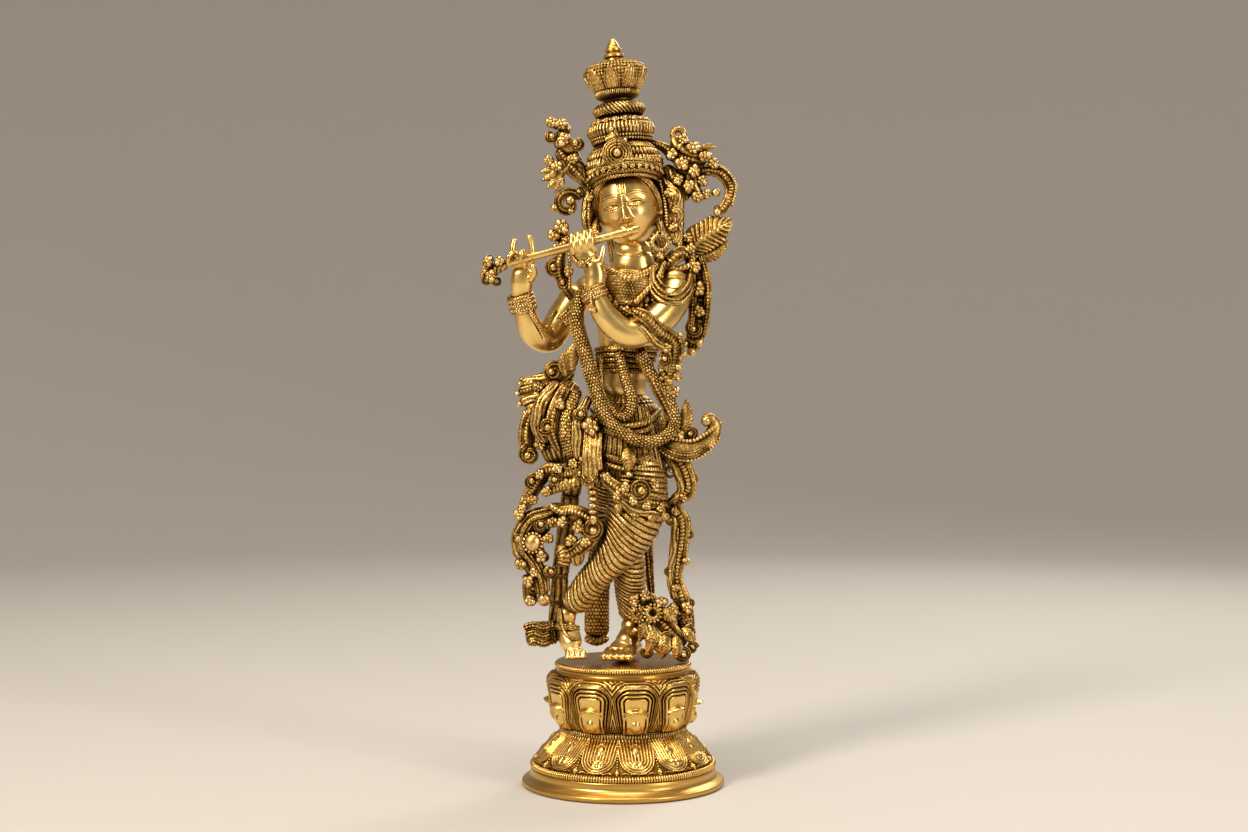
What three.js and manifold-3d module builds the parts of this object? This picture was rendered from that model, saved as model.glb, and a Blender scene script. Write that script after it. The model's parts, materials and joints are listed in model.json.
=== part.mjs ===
// A standing flute-playing deity in cast and turned brass, on a double-lotus pedestal.
// Millimetres, +Z up, the figure faces -Y, and its own left hand is at +X. The origin is the centre of
// the plinth's flat underside. Figure heights are measured from the deck that the figure stands on.
import * as THREE from "three";
import { mergeVertices } from "three/addons/utils/BufferGeometryUtils.js";
import Module from "manifold-3d";

const wasm = await Module();
wasm.setup();

// ---- driving dimensions -------------------------------------------------------------------------
const SEAM = 0.3; // gap that neighbouring castings keep to each other
const PLINTH_R = 41.3; // turned plinth, overall radius
const PLINTH_EDGE = 2.2; // height of its vertical edge
const PLINTH_STEP_R = 37.6; // raised seat under the lower lotus
const PLINTH_H = 7.2;
const LOWER_LOTUS_H = 14; // bell of hanging petals
const LOWER_PETALS = 13;
const WAIST_R = 25; // where the two lotuses meet
const COLLAR_H = 2.5; // beaded collar at the waist
const UPPER_LOTUS_H = 20.1; // bowl of standing petals
const UPPER_LOTUS_R = 31;
const UPPER_PETALS = 10;
const LOTUS_WALL = 2.6; // both lotus castings are hollow shells
const DECK_R = 27.9; // turned plate that the figure stands on
const DECK_H = 5.1;
const DECK_PLATE = 4; // its thickness over the hollow
const SCREW_R = 2; // M4 countersunk screws, plinth to lower lotus
const SCREW_COUNT = 3;
const SCREW_CIRCLE_R = 29.5;
const SCREW_LENGTH = 11.5;
const SCREW_HEAD_R = 3.8;
const BOSS_WALL = 1.5;
const STUD_R = 1.5; // M3 studs cast under the figure, through the deck
const STUD_LENGTH = 9.5;
const STUD_CLEARANCE = 0.35;
const NUT_R = 3.2; // across corners
const NUT_H = 2.4;
const FLUTE_R = 1.6;
const FLUTE_CLEARANCE = 0.15; // snug sliding fit in the fingers
const FLUTE_MOUTH_END = [6.5, -17.2, 175]; // beside the lower lip
const FLUTE_FAR_END = [-47, -17.2, 161];
const GARLAND_R = 2.5; // long garland, tube radius
const INNER_GARLAND_R = 2;
const BANGLE_R = 1.15; // rope radius of bracelets, armlets and anklets
const WRIST_R = 3.8;
const UPPER_ARM_R = 7.2;
const FOREARM_R = 5.6;
const NECK_R = 6.4;
const HEAD_CENTRE = [2, 0.5, 184.5];
const HEAD_RADII = [12.2, 13.6, 15.6];
const HEAD_TILT = 10; // degrees, towards the figure's right shoulder
const FACE_HEIGHT = 27; // chin to hairline; the features divide it by the usual thirds
const SPIRE_R = 13.2; // widest ring of the crown's spire
const CUP_R = 12.8; // lotus cup on top of the spire
const FINIAL_R = 3.6;

// Heights of the pedestal's joints, from the plinth's underside up.
const LOWER_LOTUS_Z = PLINTH_H + SEAM;
const COLLAR_Z = LOWER_LOTUS_Z + LOWER_LOTUS_H + SEAM;
const UPPER_LOTUS_Z = COLLAR_Z + COLLAR_H + SEAM;
const DECK_Z = UPPER_LOTUS_Z + UPPER_LOTUS_H + SEAM;
const DECK_TOP = DECK_Z + DECK_H;

// ---- solids -------------------------------------------------------------------------------------
const DEPTH = new THREE.Vector3(0, 1, 0);
const UP = new THREE.Vector3(0, 0, 1);
const vector = (p) => new THREE.Vector3(...p);

// A closed three.js geometry as a manifold-3d solid.
function solidOf(geometry) {
  geometry.deleteAttribute("normal");
  geometry.deleteAttribute("uv");
  const merged = mergeVertices(geometry, 1e-4);
  const index = merged.index.array;
  const corners = [];
  for (let i = 0; i < index.length; i += 3) {
    const [a, b, c] = [index[i], index[i + 1], index[i + 2]];
    if (a !== b && b !== c && c !== a) corners.push(a, b, c);
  }
  const made = (triVerts) =>
    new wasm.Manifold(
      new wasm.Mesh({ numProp: 3, vertProperties: merged.attributes.position.array, triVerts }),
    );
  const solid = made(new Uint32Array(corners));
  return solid.volume() > 0 ? solid : made(new Uint32Array(corners.reverse()));
}

// Back to a three.js geometry, with flat-shaded faces.
function geometryOf(solid) {
  const mesh = solid.getMesh();
  const geometry = new THREE.BufferGeometry()
    .setAttribute("position", new THREE.BufferAttribute(new Float32Array(mesh.vertProperties), 3))
    .setIndex(new THREE.BufferAttribute(new Uint32Array(mesh.triVerts), 1));
  const faceted = geometry.toNonIndexed();
  faceted.computeVertexNormals();
  return faceted;
}

const join = (solids) => solids.reduce((all, one) => all.add(one));

// A value between the entries of a list, at share t of the way along it.
function along(list, t) {
  const place = t * (list.length - 1);
  const i = Math.min(Math.floor(place), list.length - 2);
  return THREE.MathUtils.lerp(list[i], list[i + 1], place - i);
}

// A tapering round or flattened bar along a smooth path: a closed cylinder bent onto a curve, with one
// radius for each point of the path. flat is its thickness, measured along thin, as a share of its width.
function sweep(points, radii, grow, options = {}) {
  const { flat = 1, thin = DEPTH, sides = 8, steps = 2 * (points.length - 1) } = options;
  const curve = new THREE.CatmullRomCurve3(points.map(vector));
  const bar = new THREE.CylinderGeometry(1, 1, 1, sides, steps);
  const at = bar.getAttribute("position");
  for (let i = 0; i < at.count; i++) {
    const t = THREE.MathUtils.clamp(0.5 - at.getY(i), 0, 1);
    const tangent = curve.getTangent(t);
    const depth = thin.clone().projectOnPlane(tangent).normalize();
    const across = new THREE.Vector3().crossVectors(depth, tangent);
    const radius = Array.isArray(radii) ? along(radii, t) : radii;
    const beyond = t === 0 ? -grow : t === 1 ? grow : 0;
    const place = curve
      .getPoint(t)
      .addScaledVector(tangent, beyond)
      .addScaledVector(across, at.getX(i) * (radius + grow))
      .addScaledVector(depth, at.getZ(i) * (radius * flat + grow));
    at.setXYZ(i, place.x, place.y, place.z);
  }
  return solidOf(bar);
}

// An ellipsoid, tilted about the depth axis by lean radians.
function ball(centre, radii, grow, { detail = 1, lean = 0 } = {}) {
  const [x, y, z] = Array.isArray(radii) ? radii : [radii, radii, radii];
  const round = new THREE.IcosahedronGeometry(1, detail);
  round.scale(x + grow, y + grow, z + grow).rotateY(lean).translate(...centre);
  return solidOf(round);
}

// A lotus petal: a flattened, pointed octahedral dome at angle round the pedestal, leaning out by slope
// radians.
function petal(angle, radius, z, [width, thickness, height], slope, grow) {
  const round = new THREE.OctahedronGeometry(1, 1);
  round.scale(thickness + grow, width + grow, height + grow);
  return solidOf(round.rotateY(slope).translate(radius, 0, z).rotateZ(angle));
}

const petalAngles = (count, first) =>
  Array.from({ length: count }, (_, i) => THREE.MathUtils.degToRad(first + (i * 360) / count));

// A flower facing forwards: a domed disc with a lobed edge.
function rosette(centre, radius, grow, { petals = 5, thickness = radius * 0.7 } = {}) {
  const dome = [[0, -1], [0.8, -0.7], [1, 0], [0.55, 0.6], [0, 1]];
  const disc = new THREE.LatheGeometry(
    dome.map(([r, y]) => new THREE.Vector2(r, y)),
    petals * 4,
  );
  const at = disc.getAttribute("position");
  for (let i = 0; i < at.count; i++) {
    const lobe = 1 + 0.16 * Math.cos(petals * Math.atan2(at.getZ(i), at.getX(i)));
    const reach = (radius + grow) * lobe;
    at.setXYZ(i, at.getX(i) * reach, at.getY(i) * (thickness + grow), at.getZ(i) * reach);
  }
  return solidOf(disc.rotateX(Math.PI).translate(...centre));
}

// A ring round the axis normal, through a bent limb or a head. flat squeezes it in depth.
function ring(centre, radius, rope, normal, grow, { flat = 1, segments = 12 } = {}) {
  const torus = new THREE.TorusGeometry(radius, rope + grow, 5, segments);
  torus.scale(1, flat, 1);
  torus.applyQuaternion(new THREE.Quaternion().setFromUnitVectors(UP, vector(normal).normalize()));
  return solidOf(torus.translate(...centre));
}

// Turned about a vertical axis. A profile is [radius, height] pairs; grow swells it from its middle.
function turned(profile, centre, grow, segments = 24) {
  const heights = profile.map((p) => p[1]);
  const middle = (Math.min(...heights) + Math.max(...heights)) / 2;
  const swell = ([r, z]) => new THREE.Vector2(r > 0 ? r + grow : 0, z + Math.sign(z - middle) * grow);
  const lathe = new THREE.LatheGeometry(profile.map(swell), segments);
  return solidOf(lathe.rotateX(Math.PI / 2).translate(...centre));
}

// A turned shell with an open middle: its inner profile shrinks by grow while the outer one swells.
function shell(outer, inner, grow, segments = 24) {
  const ends = outer.map((p) => p[1]);
  const [low, high] = [Math.min(...ends), Math.max(...ends)];
  const level = (z) => (z <= low ? z - grow : z >= high ? z + grow : z);
  const profile = [
    ...outer.map(([r, z]) => new THREE.Vector2(r + grow, level(z))),
    ...inner.map(([r, z]) => new THREE.Vector2(r - grow, level(z))),
  ];
  profile.push(profile[0].clone());
  return solidOf(new THREE.LatheGeometry(profile, segments).rotateX(Math.PI / 2));
}

const rod = ([x, y], radius, from, to, sides = 12) =>
  turned([[0, from], [radius, from], [radius, to], [0, to]], [x, y, 0], 0, sides);

// A point of the figure, its height measured from the deck.
const onDeck = ([x, y, z]) => [x, y, z + DECK_TOP];
const limb = (points, radii, grow, options) => sweep(points.map(onDeck), radii, grow, options);
const bead = (centre, radii, grow, options) => ball(onDeck(centre), radii, grow, options);
const flower = (centre, radius, grow, options) => rosette(onDeck(centre), radius, grow, options);
const bangle = (centre, radius, rope, normal, grow, options) =>
  ring(onDeck(centre), radius, rope, normal, grow, options);
const spun = (profile, [x, y], grow, segments = 14) =>
  turned(profile, [x, y, DECK_TOP], grow, segments);

// ---- finishes -----------------------------------------------------------------------------------
const finishes = {
  polished_brass: { color: 0xd8a548, roughness: 0.26, metalness: 1 },
  antique_brass: { color: 0xb98732, roughness: 0.38, metalness: 1 },
  turned_brass: { color: 0xcb9a3f, roughness: 0.3, metalness: 1 },
  steel: { color: 0xa9abad, roughness: 0.35, metalness: 1 },
};

// ---- pedestal -----------------------------------------------------------------------------------
const screwPlaces = Array.from({ length: SCREW_COUNT }, (_, i) => {
  const angle = Math.PI / 2 + (i * 2 * Math.PI) / SCREW_COUNT;
  return [SCREW_CIRCLE_R * Math.cos(angle), SCREW_CIRCLE_R * Math.sin(angle)];
});
const SCREW_RECESS = 0.5; // screw heads lie this far above the plinth's underside
const SCREW_HEAD_H = 2;

const screw = (place, grow) =>
  turned(
    [
      [0, SCREW_RECESS],
      [SCREW_HEAD_R, SCREW_RECESS],
      [SCREW_R, SCREW_RECESS + SCREW_HEAD_H],
      [SCREW_R, SCREW_RECESS + SCREW_LENGTH],
      [0, SCREW_RECESS + SCREW_LENGTH],
    ],
    [...place, 0],
    grow,
    12,
  );

const screwAccess = (place) => rod(place, SCREW_HEAD_R + SEAM, -1, SCREW_RECESS + SEAM);

function plinthPlate(grow) {
  const plate = turned(
    [
      [0, 0],
      [PLINTH_R, 0],
      [PLINTH_R, PLINTH_EDGE],
      [PLINTH_STEP_R + 0.8, PLINTH_EDGE + 1.4],
      [PLINTH_STEP_R, PLINTH_EDGE + 2],
      [PLINTH_STEP_R, PLINTH_H],
      [0, PLINTH_H],
    ],
    [0, 0, 0],
    grow,
    32,
  );
  return screwPlaces.reduce((cut, place) => cut.subtract(screwAccess(place)), plate);
}

function lowerLotus(grow) {
  const foot = LOWER_LOTUS_Z;
  const top = foot + LOWER_LOTUS_H;
  const rise = (share) => foot + LOWER_LOTUS_H * share;
  const reach = (share) => WAIST_R + (PLINTH_STEP_R - WAIST_R) * share;
  const outer = [
    [reach(0.97), foot],
    [reach(1), rise(0.07)],
    [reach(0.86), rise(0.3)],
    [reach(0.52), rise(0.62)],
    [reach(0.12), rise(0.92)],
    [reach(0), top],
  ];
  const inner = [
    [WAIST_R - LOTUS_WALL, top],
    [reach(0.5) - LOTUS_WALL, rise(0.48)],
    [reach(0.94) - LOTUS_WALL, foot],
  ];
  const bossTop = SCREW_RECESS + SCREW_LENGTH + BOSS_WALL;
  const bosses = screwPlaces.map((place) =>
    rod(place, SCREW_R + BOSS_WALL + grow, foot - grow, bossTop + grow),
  );
  const size = [(reach(0.5) * Math.PI * 0.86) / LOWER_PETALS, 1.9, LOWER_LOTUS_H * 0.58];
  const petals = petalAngles(LOWER_PETALS, 10 - 90).map((angle) =>
    petal(angle, reach(0.6), rise(0.48), size, -0.72, grow),
  );
  return join([shell(outer, inner, grow, 26), ...bosses, ...petals]);
}

const waistCollar = (grow) =>
  shell(
    [
      [WAIST_R - 0.3, COLLAR_Z],
      [WAIST_R + 0.5, COLLAR_Z + COLLAR_H * 0.35],
      [WAIST_R + 0.2, COLLAR_Z + COLLAR_H],
    ],
    [
      [WAIST_R - LOTUS_WALL, COLLAR_Z + COLLAR_H],
      [WAIST_R - LOTUS_WALL, COLLAR_Z],
    ],
    grow,
    32,
  );

function upperLotus(grow) {
  const rise = (share) => UPPER_LOTUS_Z + UPPER_LOTUS_H * share;
  const reach = (share) => WAIST_R + (UPPER_LOTUS_R - WAIST_R) * share;
  const size = [(reach(0.6) * Math.PI * 0.84) / UPPER_PETALS, 2.2, UPPER_LOTUS_H * 0.42];
  const petals = petalAngles(UPPER_PETALS, 10 - 90).map((angle) =>
    petal(angle, reach(0.68), rise(0.5), size, 0.24, grow),
  );
  const bowl = shell(
    [
      [reach(0), rise(0)],
      [reach(0.55), rise(0.28)],
      [reach(0.85), rise(0.6)],
      [reach(1), rise(0.95)],
      [reach(0.8), rise(1)],
    ],
    [
      [DECK_R - LOTUS_WALL, rise(1)],
      [reach(0.5) - LOTUS_WALL, rise(0.45)],
      [reach(0) - LOTUS_WALL, rise(0)],
    ],
    grow,
    30,
  );
  return join([bowl, ...petals]);
}

// Studs cast under the standing foot and under the foliage, and the nuts inside the pedestal.
const FOOT_STUD = [1.5, 4];
const FOLIAGE_STUD = [18, 2];
const stud = (place, radius) => rod(place, radius, DECK_TOP - STUD_LENGTH, DECK_TOP + 2);

function deckPlate(grow) {
  const lip = 2;
  const plate = turned(
    [
      [0, DECK_TOP - DECK_PLATE],
      [DECK_R - LOTUS_WALL - lip, DECK_TOP - DECK_PLATE],
      [DECK_R - LOTUS_WALL, DECK_Z],
      [DECK_R, DECK_Z],
      [DECK_R, DECK_TOP - 0.4],
      [DECK_R - 0.5, DECK_TOP],
      [0, DECK_TOP],
    ],
    [0, 0, 0],
    grow,
    32,
  );
  const hole = STUD_R + STUD_CLEARANCE - grow;
  return [FOOT_STUD, FOLIAGE_STUD].reduce((cut, place) => cut.subtract(stud(place, hole)), plate);
}

function nut(place, grow) {
  const top = DECK_TOP - DECK_PLATE - SEAM;
  const body = rod(place, NUT_R + grow, top - NUT_H - grow, top + grow, 6);
  return body.subtract(rod(place, STUD_R + SEAM - grow, top - NUT_H - 1, top + 1));
}

// ---- legs and feet ------------------------------------------------------------------------------
const SOLE = { flat: 0.75, thin: UP }; // feet are flattened from the top
const ANKLE_RIGHT = [3.5, 7, 4.5];
const ANKLE_LEFT = [-21.5, 1, 13];

const rightLeg = (grow) =>
  join([
    limb(
      [[-7, 6, 84], [-3, 6, 62], [2, 6, 42], [3, 7, 27], [3.5, 7.5, 13], ANKLE_RIGHT],
      [9.5, 8.5, 6.6, 5.6, 3.2, 3.4],
      grow,
      { sides: 10 },
    ),
    limb([[4, 12.5, 3.2], [3.2, 6, 4], [0, 0, 2.8], [-3, -6, 1.6]], [3.6, 4.2, 5, 4.6], grow, SOLE),
  ]);

const leftLeg = (grow) =>
  join([
    limb(
      [[4, 2, 86], [8.5, -6, 60], [-5, -5, 39], [-19, -2, 23], ANKLE_LEFT],
      [11, 9.8, 7.4, 5.4, 3],
      grow,
      { sides: 10 },
    ),
    limb([[-21.5, 2, 12], [-20.5, -2, 6], [-18, -7.5, 1.6]], [3.2, 3.8, 3.4], grow, SOLE),
  ]);

const rightAnklet = (grow) => bangle([3.5, 7.5, 9.5], 4.6, BANGLE_R, [0, -0.2, 1], grow);
const leftAnklet = (grow) => bangle([-21, 0, 12], 4, BANGLE_R, [-0.1, 0.2, 1], grow);

// ---- body and head ------------------------------------------------------------------------------
const skirt = (grow) =>
  limb([[1, 3, 112], [1, 3, 100], [1, 3, 86], [0, 2, 70]], [10.5, 14.5, 17.5, 16], grow, {
    flat: 0.78,
    sides: 12,
    steps: 6,
  });

const torso = (grow) =>
  join([
    limb(
      [[-1, 3, 106], [0, 3, 122], [3, 3, 142], [4, 3, 156], [4.5, 3, 164]],
      [10, 10.5, 14.5, 12.5, NECK_R],
      grow,
      { flat: 0.72, sides: 12, steps: 8 },
    ),
    bead([20, 3, 153], UPPER_ARM_R, grow),
    bead([-14, 4, 151], UPPER_ARM_R, grow),
  ]);

// A point of the head: x and z are measured from its centre in shares of the face's height, and y is
// how far it stands in front of the middle of the skull.
function onHead([x, y, z]) {
  const lean = -THREE.MathUtils.degToRad(HEAD_TILT);
  const [right, up] = [x * FACE_HEIGHT, z * FACE_HEIGHT];
  const [cx, cy, cz] = HEAD_CENTRE;
  return [
    cx + right * Math.cos(lean) + up * Math.sin(lean),
    cy - y,
    cz - right * Math.sin(lean) + up * Math.cos(lean),
  ];
}

function head(grow) {
  const lean = -THREE.MathUtils.degToRad(HEAD_TILT);
  const part = (centre, radii) => bead(onHead(centre), radii, grow, { lean });
  const skull = bead(onHead([0, 0, 0.02]), HEAD_RADII, grow, { detail: 2, lean });
  const neck = limb([[4.2, 3, 160], [3.6, 1, 174]], NECK_R, grow, { steps: 1 });
  const bridge = [[0, 12.8, 0.06], [0, 14.6, -0.14], [0, 12.4, -0.2]].map(onHead);
  const nose = limb(bridge, [1.2, 1.9, 1.5], grow, { sides: 6 });
  const sides = [-1, 1].flatMap((side) => [
    part([side * 0.17, 11.2, 0.03], [2.9, 1.7, 1.3]), // eye
    part([side * 0.17, 11.7, 0.11], [3.8, 1.2, 0.8]), // brow
    part([side * 0.2, 9, -0.18], [4.4, 3.4, 4.4]), // cheek
    part([side * 0.45, -1, -0.02], [1.3, 2.6, 4.2]), // ear
  ]);
  const lips = part([0, 12.4, -0.3], [3.2, 1.5, 1.4]);
  const chin = part([0, 9.2, -0.43], [4.4, 3.4, 3.2]);
  return join([skull, neck, nose, lips, chin, ...sides]);
}

const hairBack = (grow) =>
  limb([[2, 7, 198], [4, 12, 182], [6, 14, 164], [6, 13, 146]], [10, 12.5, 12, 8], grow, {
    flat: 0.42,
  });
const sideLockLeft = (grow) =>
  limb([[15, 2, 197], [18.5, 3, 187], [20.5, 1, 176]], [3, 4.8, 5], grow, { flat: 0.8 });
const sideLockRight = (grow) =>
  limb([[-11.5, 2, 195], [-13.8, 1, 184], [-13, -1, 174]], [2.4, 2.6, 2.2], grow);
const earringLeft = (grow) =>
  join([
    limb([[13.8, 0.5, 181], [14.6, -2, 176], [15, -4, 171]], 1.2, grow, { sides: 6 }),
    flower([15, -5, 170], 3.9, grow, { petals: 6, thickness: 2.2 }),
  ]);
const earringRight = (grow) =>
  limb([[-10.2, -1, 181], [-11.6, -5, 177], [-11.6, -7, 172]], [1.2, 1.4, 2], grow, { sides: 6 });

// ---- crown --------------------------------------------------------------------------------------
const crownBand = (grow) =>
  bangle([1, -0.8, 196.5], 13.4, 2, [-0.08, 0.24, 1], grow, { segments: 18 });

const crownDome = (grow) =>
  spun([[0, 198], [14.6, 198.5], [15.2, 202], [13.8, 207], [10.5, 211.2], [0, 211.2]], [0.5, 1], grow);

const crownMedallion = (grow) =>
  join([
    flower([-2.5, -14, 206], 3.9, grow, { petals: 6, thickness: 1.9 }),
    limb([[-2.5, -13.2, 207.5], [-3.2, -12.6, 211], [-4, -11.5, 215]], [3.2, 2.2, 0.8], grow, { flat: 0.5 }),
  ]);

const crownSpire = (grow) =>
  spun(
    [
      [0, 211.6],
      [10.2, 211.6],
      [SPIRE_R, 216.8],
      [SPIRE_R * 0.85, 220.4],
      [7.6, 222.4],
      [10.4, 225.2],
      [8, 228],
      [5.6, 229.4],
      [8.6, 232],
      [7.2, 234],
      [0, 234],
    ],
    [-1, 1],
    grow,
    18,
  );

const crownCup = (grow) =>
  spun(
    [[0, 234.4], [7.4, 234.4], [CUP_R * 0.94, 239], [CUP_R, 242], [CUP_R * 0.9, 245], [4, 246.2], [0, 246.2]],
    [-2.4, 1],
    grow,
    18,
  );

const crownFinial = (grow) =>
  spun(
    [
      [0, 246.6],
      [FINIAL_R * 0.85, 246.6],
      [FINIAL_R, 248],
      [FINIAL_R * 0.7, 249.2],
      [FINIAL_R * 0.95, 250.4],
      [FINIAL_R * 0.75, 251.6],
      [FINIAL_R * 0.4, 254],
      [0, 255.2],
    ],
    [-3, 1],
    grow,
    12,
  );

// ---- arms and hands -----------------------------------------------------------------------------
const LEFT_WRIST = [-12, -19, 150];
const RIGHT_WRIST = [-41, -12.5, 147];

const leftArm = (grow) =>
  limb(
    [[22, 0, 155], [19.5, -7, 146], [11, -15, 136], [1, -18.5, 133], [-7, -19.5, 140], LEFT_WRIST],
    [UPPER_ARM_R, UPPER_ARM_R, 6.9, 6.2, FOREARM_R * 0.9, WRIST_R],
    grow,
    { sides: 10, steps: 12 },
  );

const leftHand = (grow) =>
  join([
    limb([LEFT_WRIST, [-10.5, -18.5, 158], [-11.5, -17.6, 166]], [WRIST_R, 4.6, 3.4], grow),
    bead([-16.5, -17.4, 166.5], [5.4, 4.6, 8.6], grow),
    limb([[-9.5, -17.5, 161], [-8, -18, 168]], [2, 1.2], grow, { sides: 6 }),
  ]);

const rightArm = (grow) =>
  limb(
    [[-17, 4, 153], [-25, 2, 140], [-31, -2, 131.5], [-37, -8, 135], RIGHT_WRIST],
    [UPPER_ARM_R * 0.95, UPPER_ARM_R * 0.88, 6.2, FOREARM_R, WRIST_R],
    grow,
    { sides: 10, steps: 11 },
  );

const rightHand = (grow) =>
  join([
    limb([RIGHT_WRIST, [-40.5, -15, 156], [-38.5, -16.6, 164]], [WRIST_R, 4.8, 3.6], grow),
    limb([[-37, -17, 160], [-37.2, -15.5, 172]], [2.2, 1.3], grow, { sides: 6 }),
    limb([[-41.5, -16, 160], [-43.5, -14, 171]], [2, 1.1], grow, { sides: 6 }),
  ]);

const leftArmlet = (grow) => bangle([18.6, -6.6, 147], 8.2, BANGLE_R, [0.55, 0.55, 0.62], grow);
const leftBracelet = (grow) => bangle([-11.6, -19, 149], 5, BANGLE_R, [-0.45, 0, 0.9], grow);
const rightArmlet = (grow) => bangle([-24, 2.4, 141.5], 7.6, BANGLE_R, [0.5, 0.15, 0.85], grow);
const rightBracelet = (grow) => bangle([-40.7, -12, 146], 5, BANGLE_R, [-0.25, -0.3, 0.9], grow);

// ---- flute, which slides out of the fingers -----------------------------------------------------
const flute = (grow) => limb([FLUTE_FAR_END, FLUTE_MOUTH_END], FLUTE_R, grow, { sides: 12, steps: 1 });
const fluteTassel = (grow) =>
  limb([[-47.4, -17.2, 160.7], [-51, -17.4, 159.4], [-55, -17.6, 158]], [2.2, 4.4, 5.2], grow);

// ---- garlands and jewellery ---------------------------------------------------------------------
const necklace = (grow) =>
  limb([[-9, -6, 159], [-4, -9.5, 149], [1, -11.5, 141], [7, -10.5, 149], [15, -6, 160]], 3.6, grow, {
    flat: 0.5,
  });

const outerGarland = (grow) =>
  limb(
    [
      [-16, -10, 152],
      [-18.5, -13, 138],
      [-15, -14.5, 125],
      [-11, -14.5, 111],
      [-6, -15.5, 99],
      [3, -16, 91.5],
      [13, -15, 90],
      [20.5, -11.5, 96],
      [19, -11, 106],
      [12, -12.5, 116],
      [6, -12.5, 126],
    ],
    GARLAND_R,
    grow,
    { steps: 24 },
  );

const innerGarland = (grow) =>
  limb(
    [[-2, -9, 126], [1, -10, 115], [3.4, -12.5, 106], [0.5, -13, 99.5], [-5, -13, 102.5], [-8.5, -12, 108]],
    INNER_GARLAND_R,
    grow,
    { steps: 12 },
  );

const waistband = (grow) =>
  bangle([0.5, 3, 107], 11.6, 1.8, [0.05, 0, 1], grow, { flat: 0.8, segments: 18 });

// ---- sashes, scarf and foliage ------------------------------------------------------------------
const sashTails = (grow) =>
  join([
    flower([-13, -12.5, 95.5], 3.8, grow),
    limb([[-13.4, -13, 95], [-14, -15, 84], [-14, -15.5, 72]], [1.8, 2.5, 2.9], grow, { flat: 0.5 }),
    limb([[-12, -13, 95], [-9.4, -15.2, 86], [-9, -15.4, 78.5]], [1.2, 1.8, 2], grow, { flat: 0.6 }),
    limb([[-13.5, -14.6, 75], [-12.2, -14, 68], [-12, -14, 59]], [2, 2.1, 2.1], grow),
  ]);

const kneeFlowers = (grow) =>
  join([
    limb([[-9, -14.5, 76], [-1.5, -16, 70], [6, -17, 66.5], [15.5, -15.5, 64]], [2.2, 3.2, 3.8, 3], grow),
    flower([6, -17.6, 71], 3.6, grow),
    flower([12.5, -15, 72.5], 2.8, grow),
    flower([0, -15.5, 73], 2.6, grow),
    limb([[6, -16, 70], [12.5, -14.5, 72.5]], 2, grow, { sides: 6 }),
  ]);

const hipScroll = (grow) =>
  limb(
    [[13, -5, 92], [21, -8, 87], [29, -7.5, 86.5], [35, -7, 90.5], [36.6, -7, 97], [34, -7, 100]],
    [2.4, 3.8, 4, 3.4, 2.6, 2.2],
    grow,
    { flat: 0.7 },
  );

const scarfFallLeft = (grow) =>
  limb(
    [
      [19, -2, 86],
      [24.5, -2, 79],
      [26.5, -1.5, 70],
      [21, -1, 64.5],
      [24, -1, 57],
      [23.5, -1, 46],
      [22, -1, 34],
      [24, -1, 26],
      [26.5, -1, 17],
    ],
    [2.5, 3.4, 3, 2, 3.4, 3, 2, 3, 3.4],
    grow,
    { flat: 0.75, steps: 18 },
  );

const footFoliage = (grow) =>
  join([
    limb([[9, 1, 24], [15, 0, 14], [20, 0, 1]], [4, 8, 9.6], grow, { flat: 0.55 }),
    flower([5.6, -4.5, 20], 3, grow),
    flower([12, -5, 20], 4, grow, { petals: 6 }),
    limb([[6, -3.4, 20], [12, -3, 19]], 1.6, grow, { sides: 6 }),
  ]);

const elbowScarf = (grow) =>
  join([
    limb(
      [[4, -21.5, 142], [9, -22, 139], [15, -18.5, 133], [20, -14.5, 129], [19, -12, 121], [16.5, -12, 112]],
      [2, 2.8, 3.2, 4.4, 4, 3.2],
      grow,
      { flat: 0.6 },
    ),
    limb([[17, -11.5, 112], [23, -10, 107.5]], [2.4, 2.2], grow, { sides: 6 }),
  ]);

const shoulderTassel = (grow) =>
  limb(
    [[28, 4, 167], [31.5, 4, 158], [31.5, 4, 150], [31, 4, 138], [28, 4, 126]],
    [4, 5, 4.4, 5.4, 3.6],
    grow,
    { flat: 0.75 },
  );

const shoulderFeather = (grow) =>
  limb([[25.5, 2, 168], [33, 3.5, 173.5], [40, 4.5, 178], [45.2, 5, 180.8]], [2.4, 5.8, 5.4, 1], grow, {
    flat: 0.25,
  });

const hairSprayLeft = (grow) =>
  join([
    limb(
      [[9, 3, 213], [16, 3, 210], [22, 2.4, 206], [28, 2, 205], [36, 2, 204]],
      [1.8, 2, 4.2, 4, 2.6],
      grow,
      { sides: 6 },
    ),
    flower([27.5, 2, 210.5], 3.6, grow),
    limb([[24, 2, 208], [22.5, 2, 215]], [1.8, 2], grow, { sides: 6 }),
    flower([31.8, 2, 209.4], 2.6, grow),
    limb([[27, 2, 204], [28, 1.5, 197], [29, 1.5, 190]], [2, 2.2, 2.8], grow, { sides: 6 }),
    limb(
      [[28, 1.6, 198], [33, 1.4, 200], [40, 1.4, 199.5], [44.5, 1.4, 193.5], [42.5, 1.4, 187], [39, 1.4, 184]],
      [1.6, 2, 2.1, 2.2, 2, 1.6],
      grow,
      { sides: 6 },
    ),
  ]);

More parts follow.
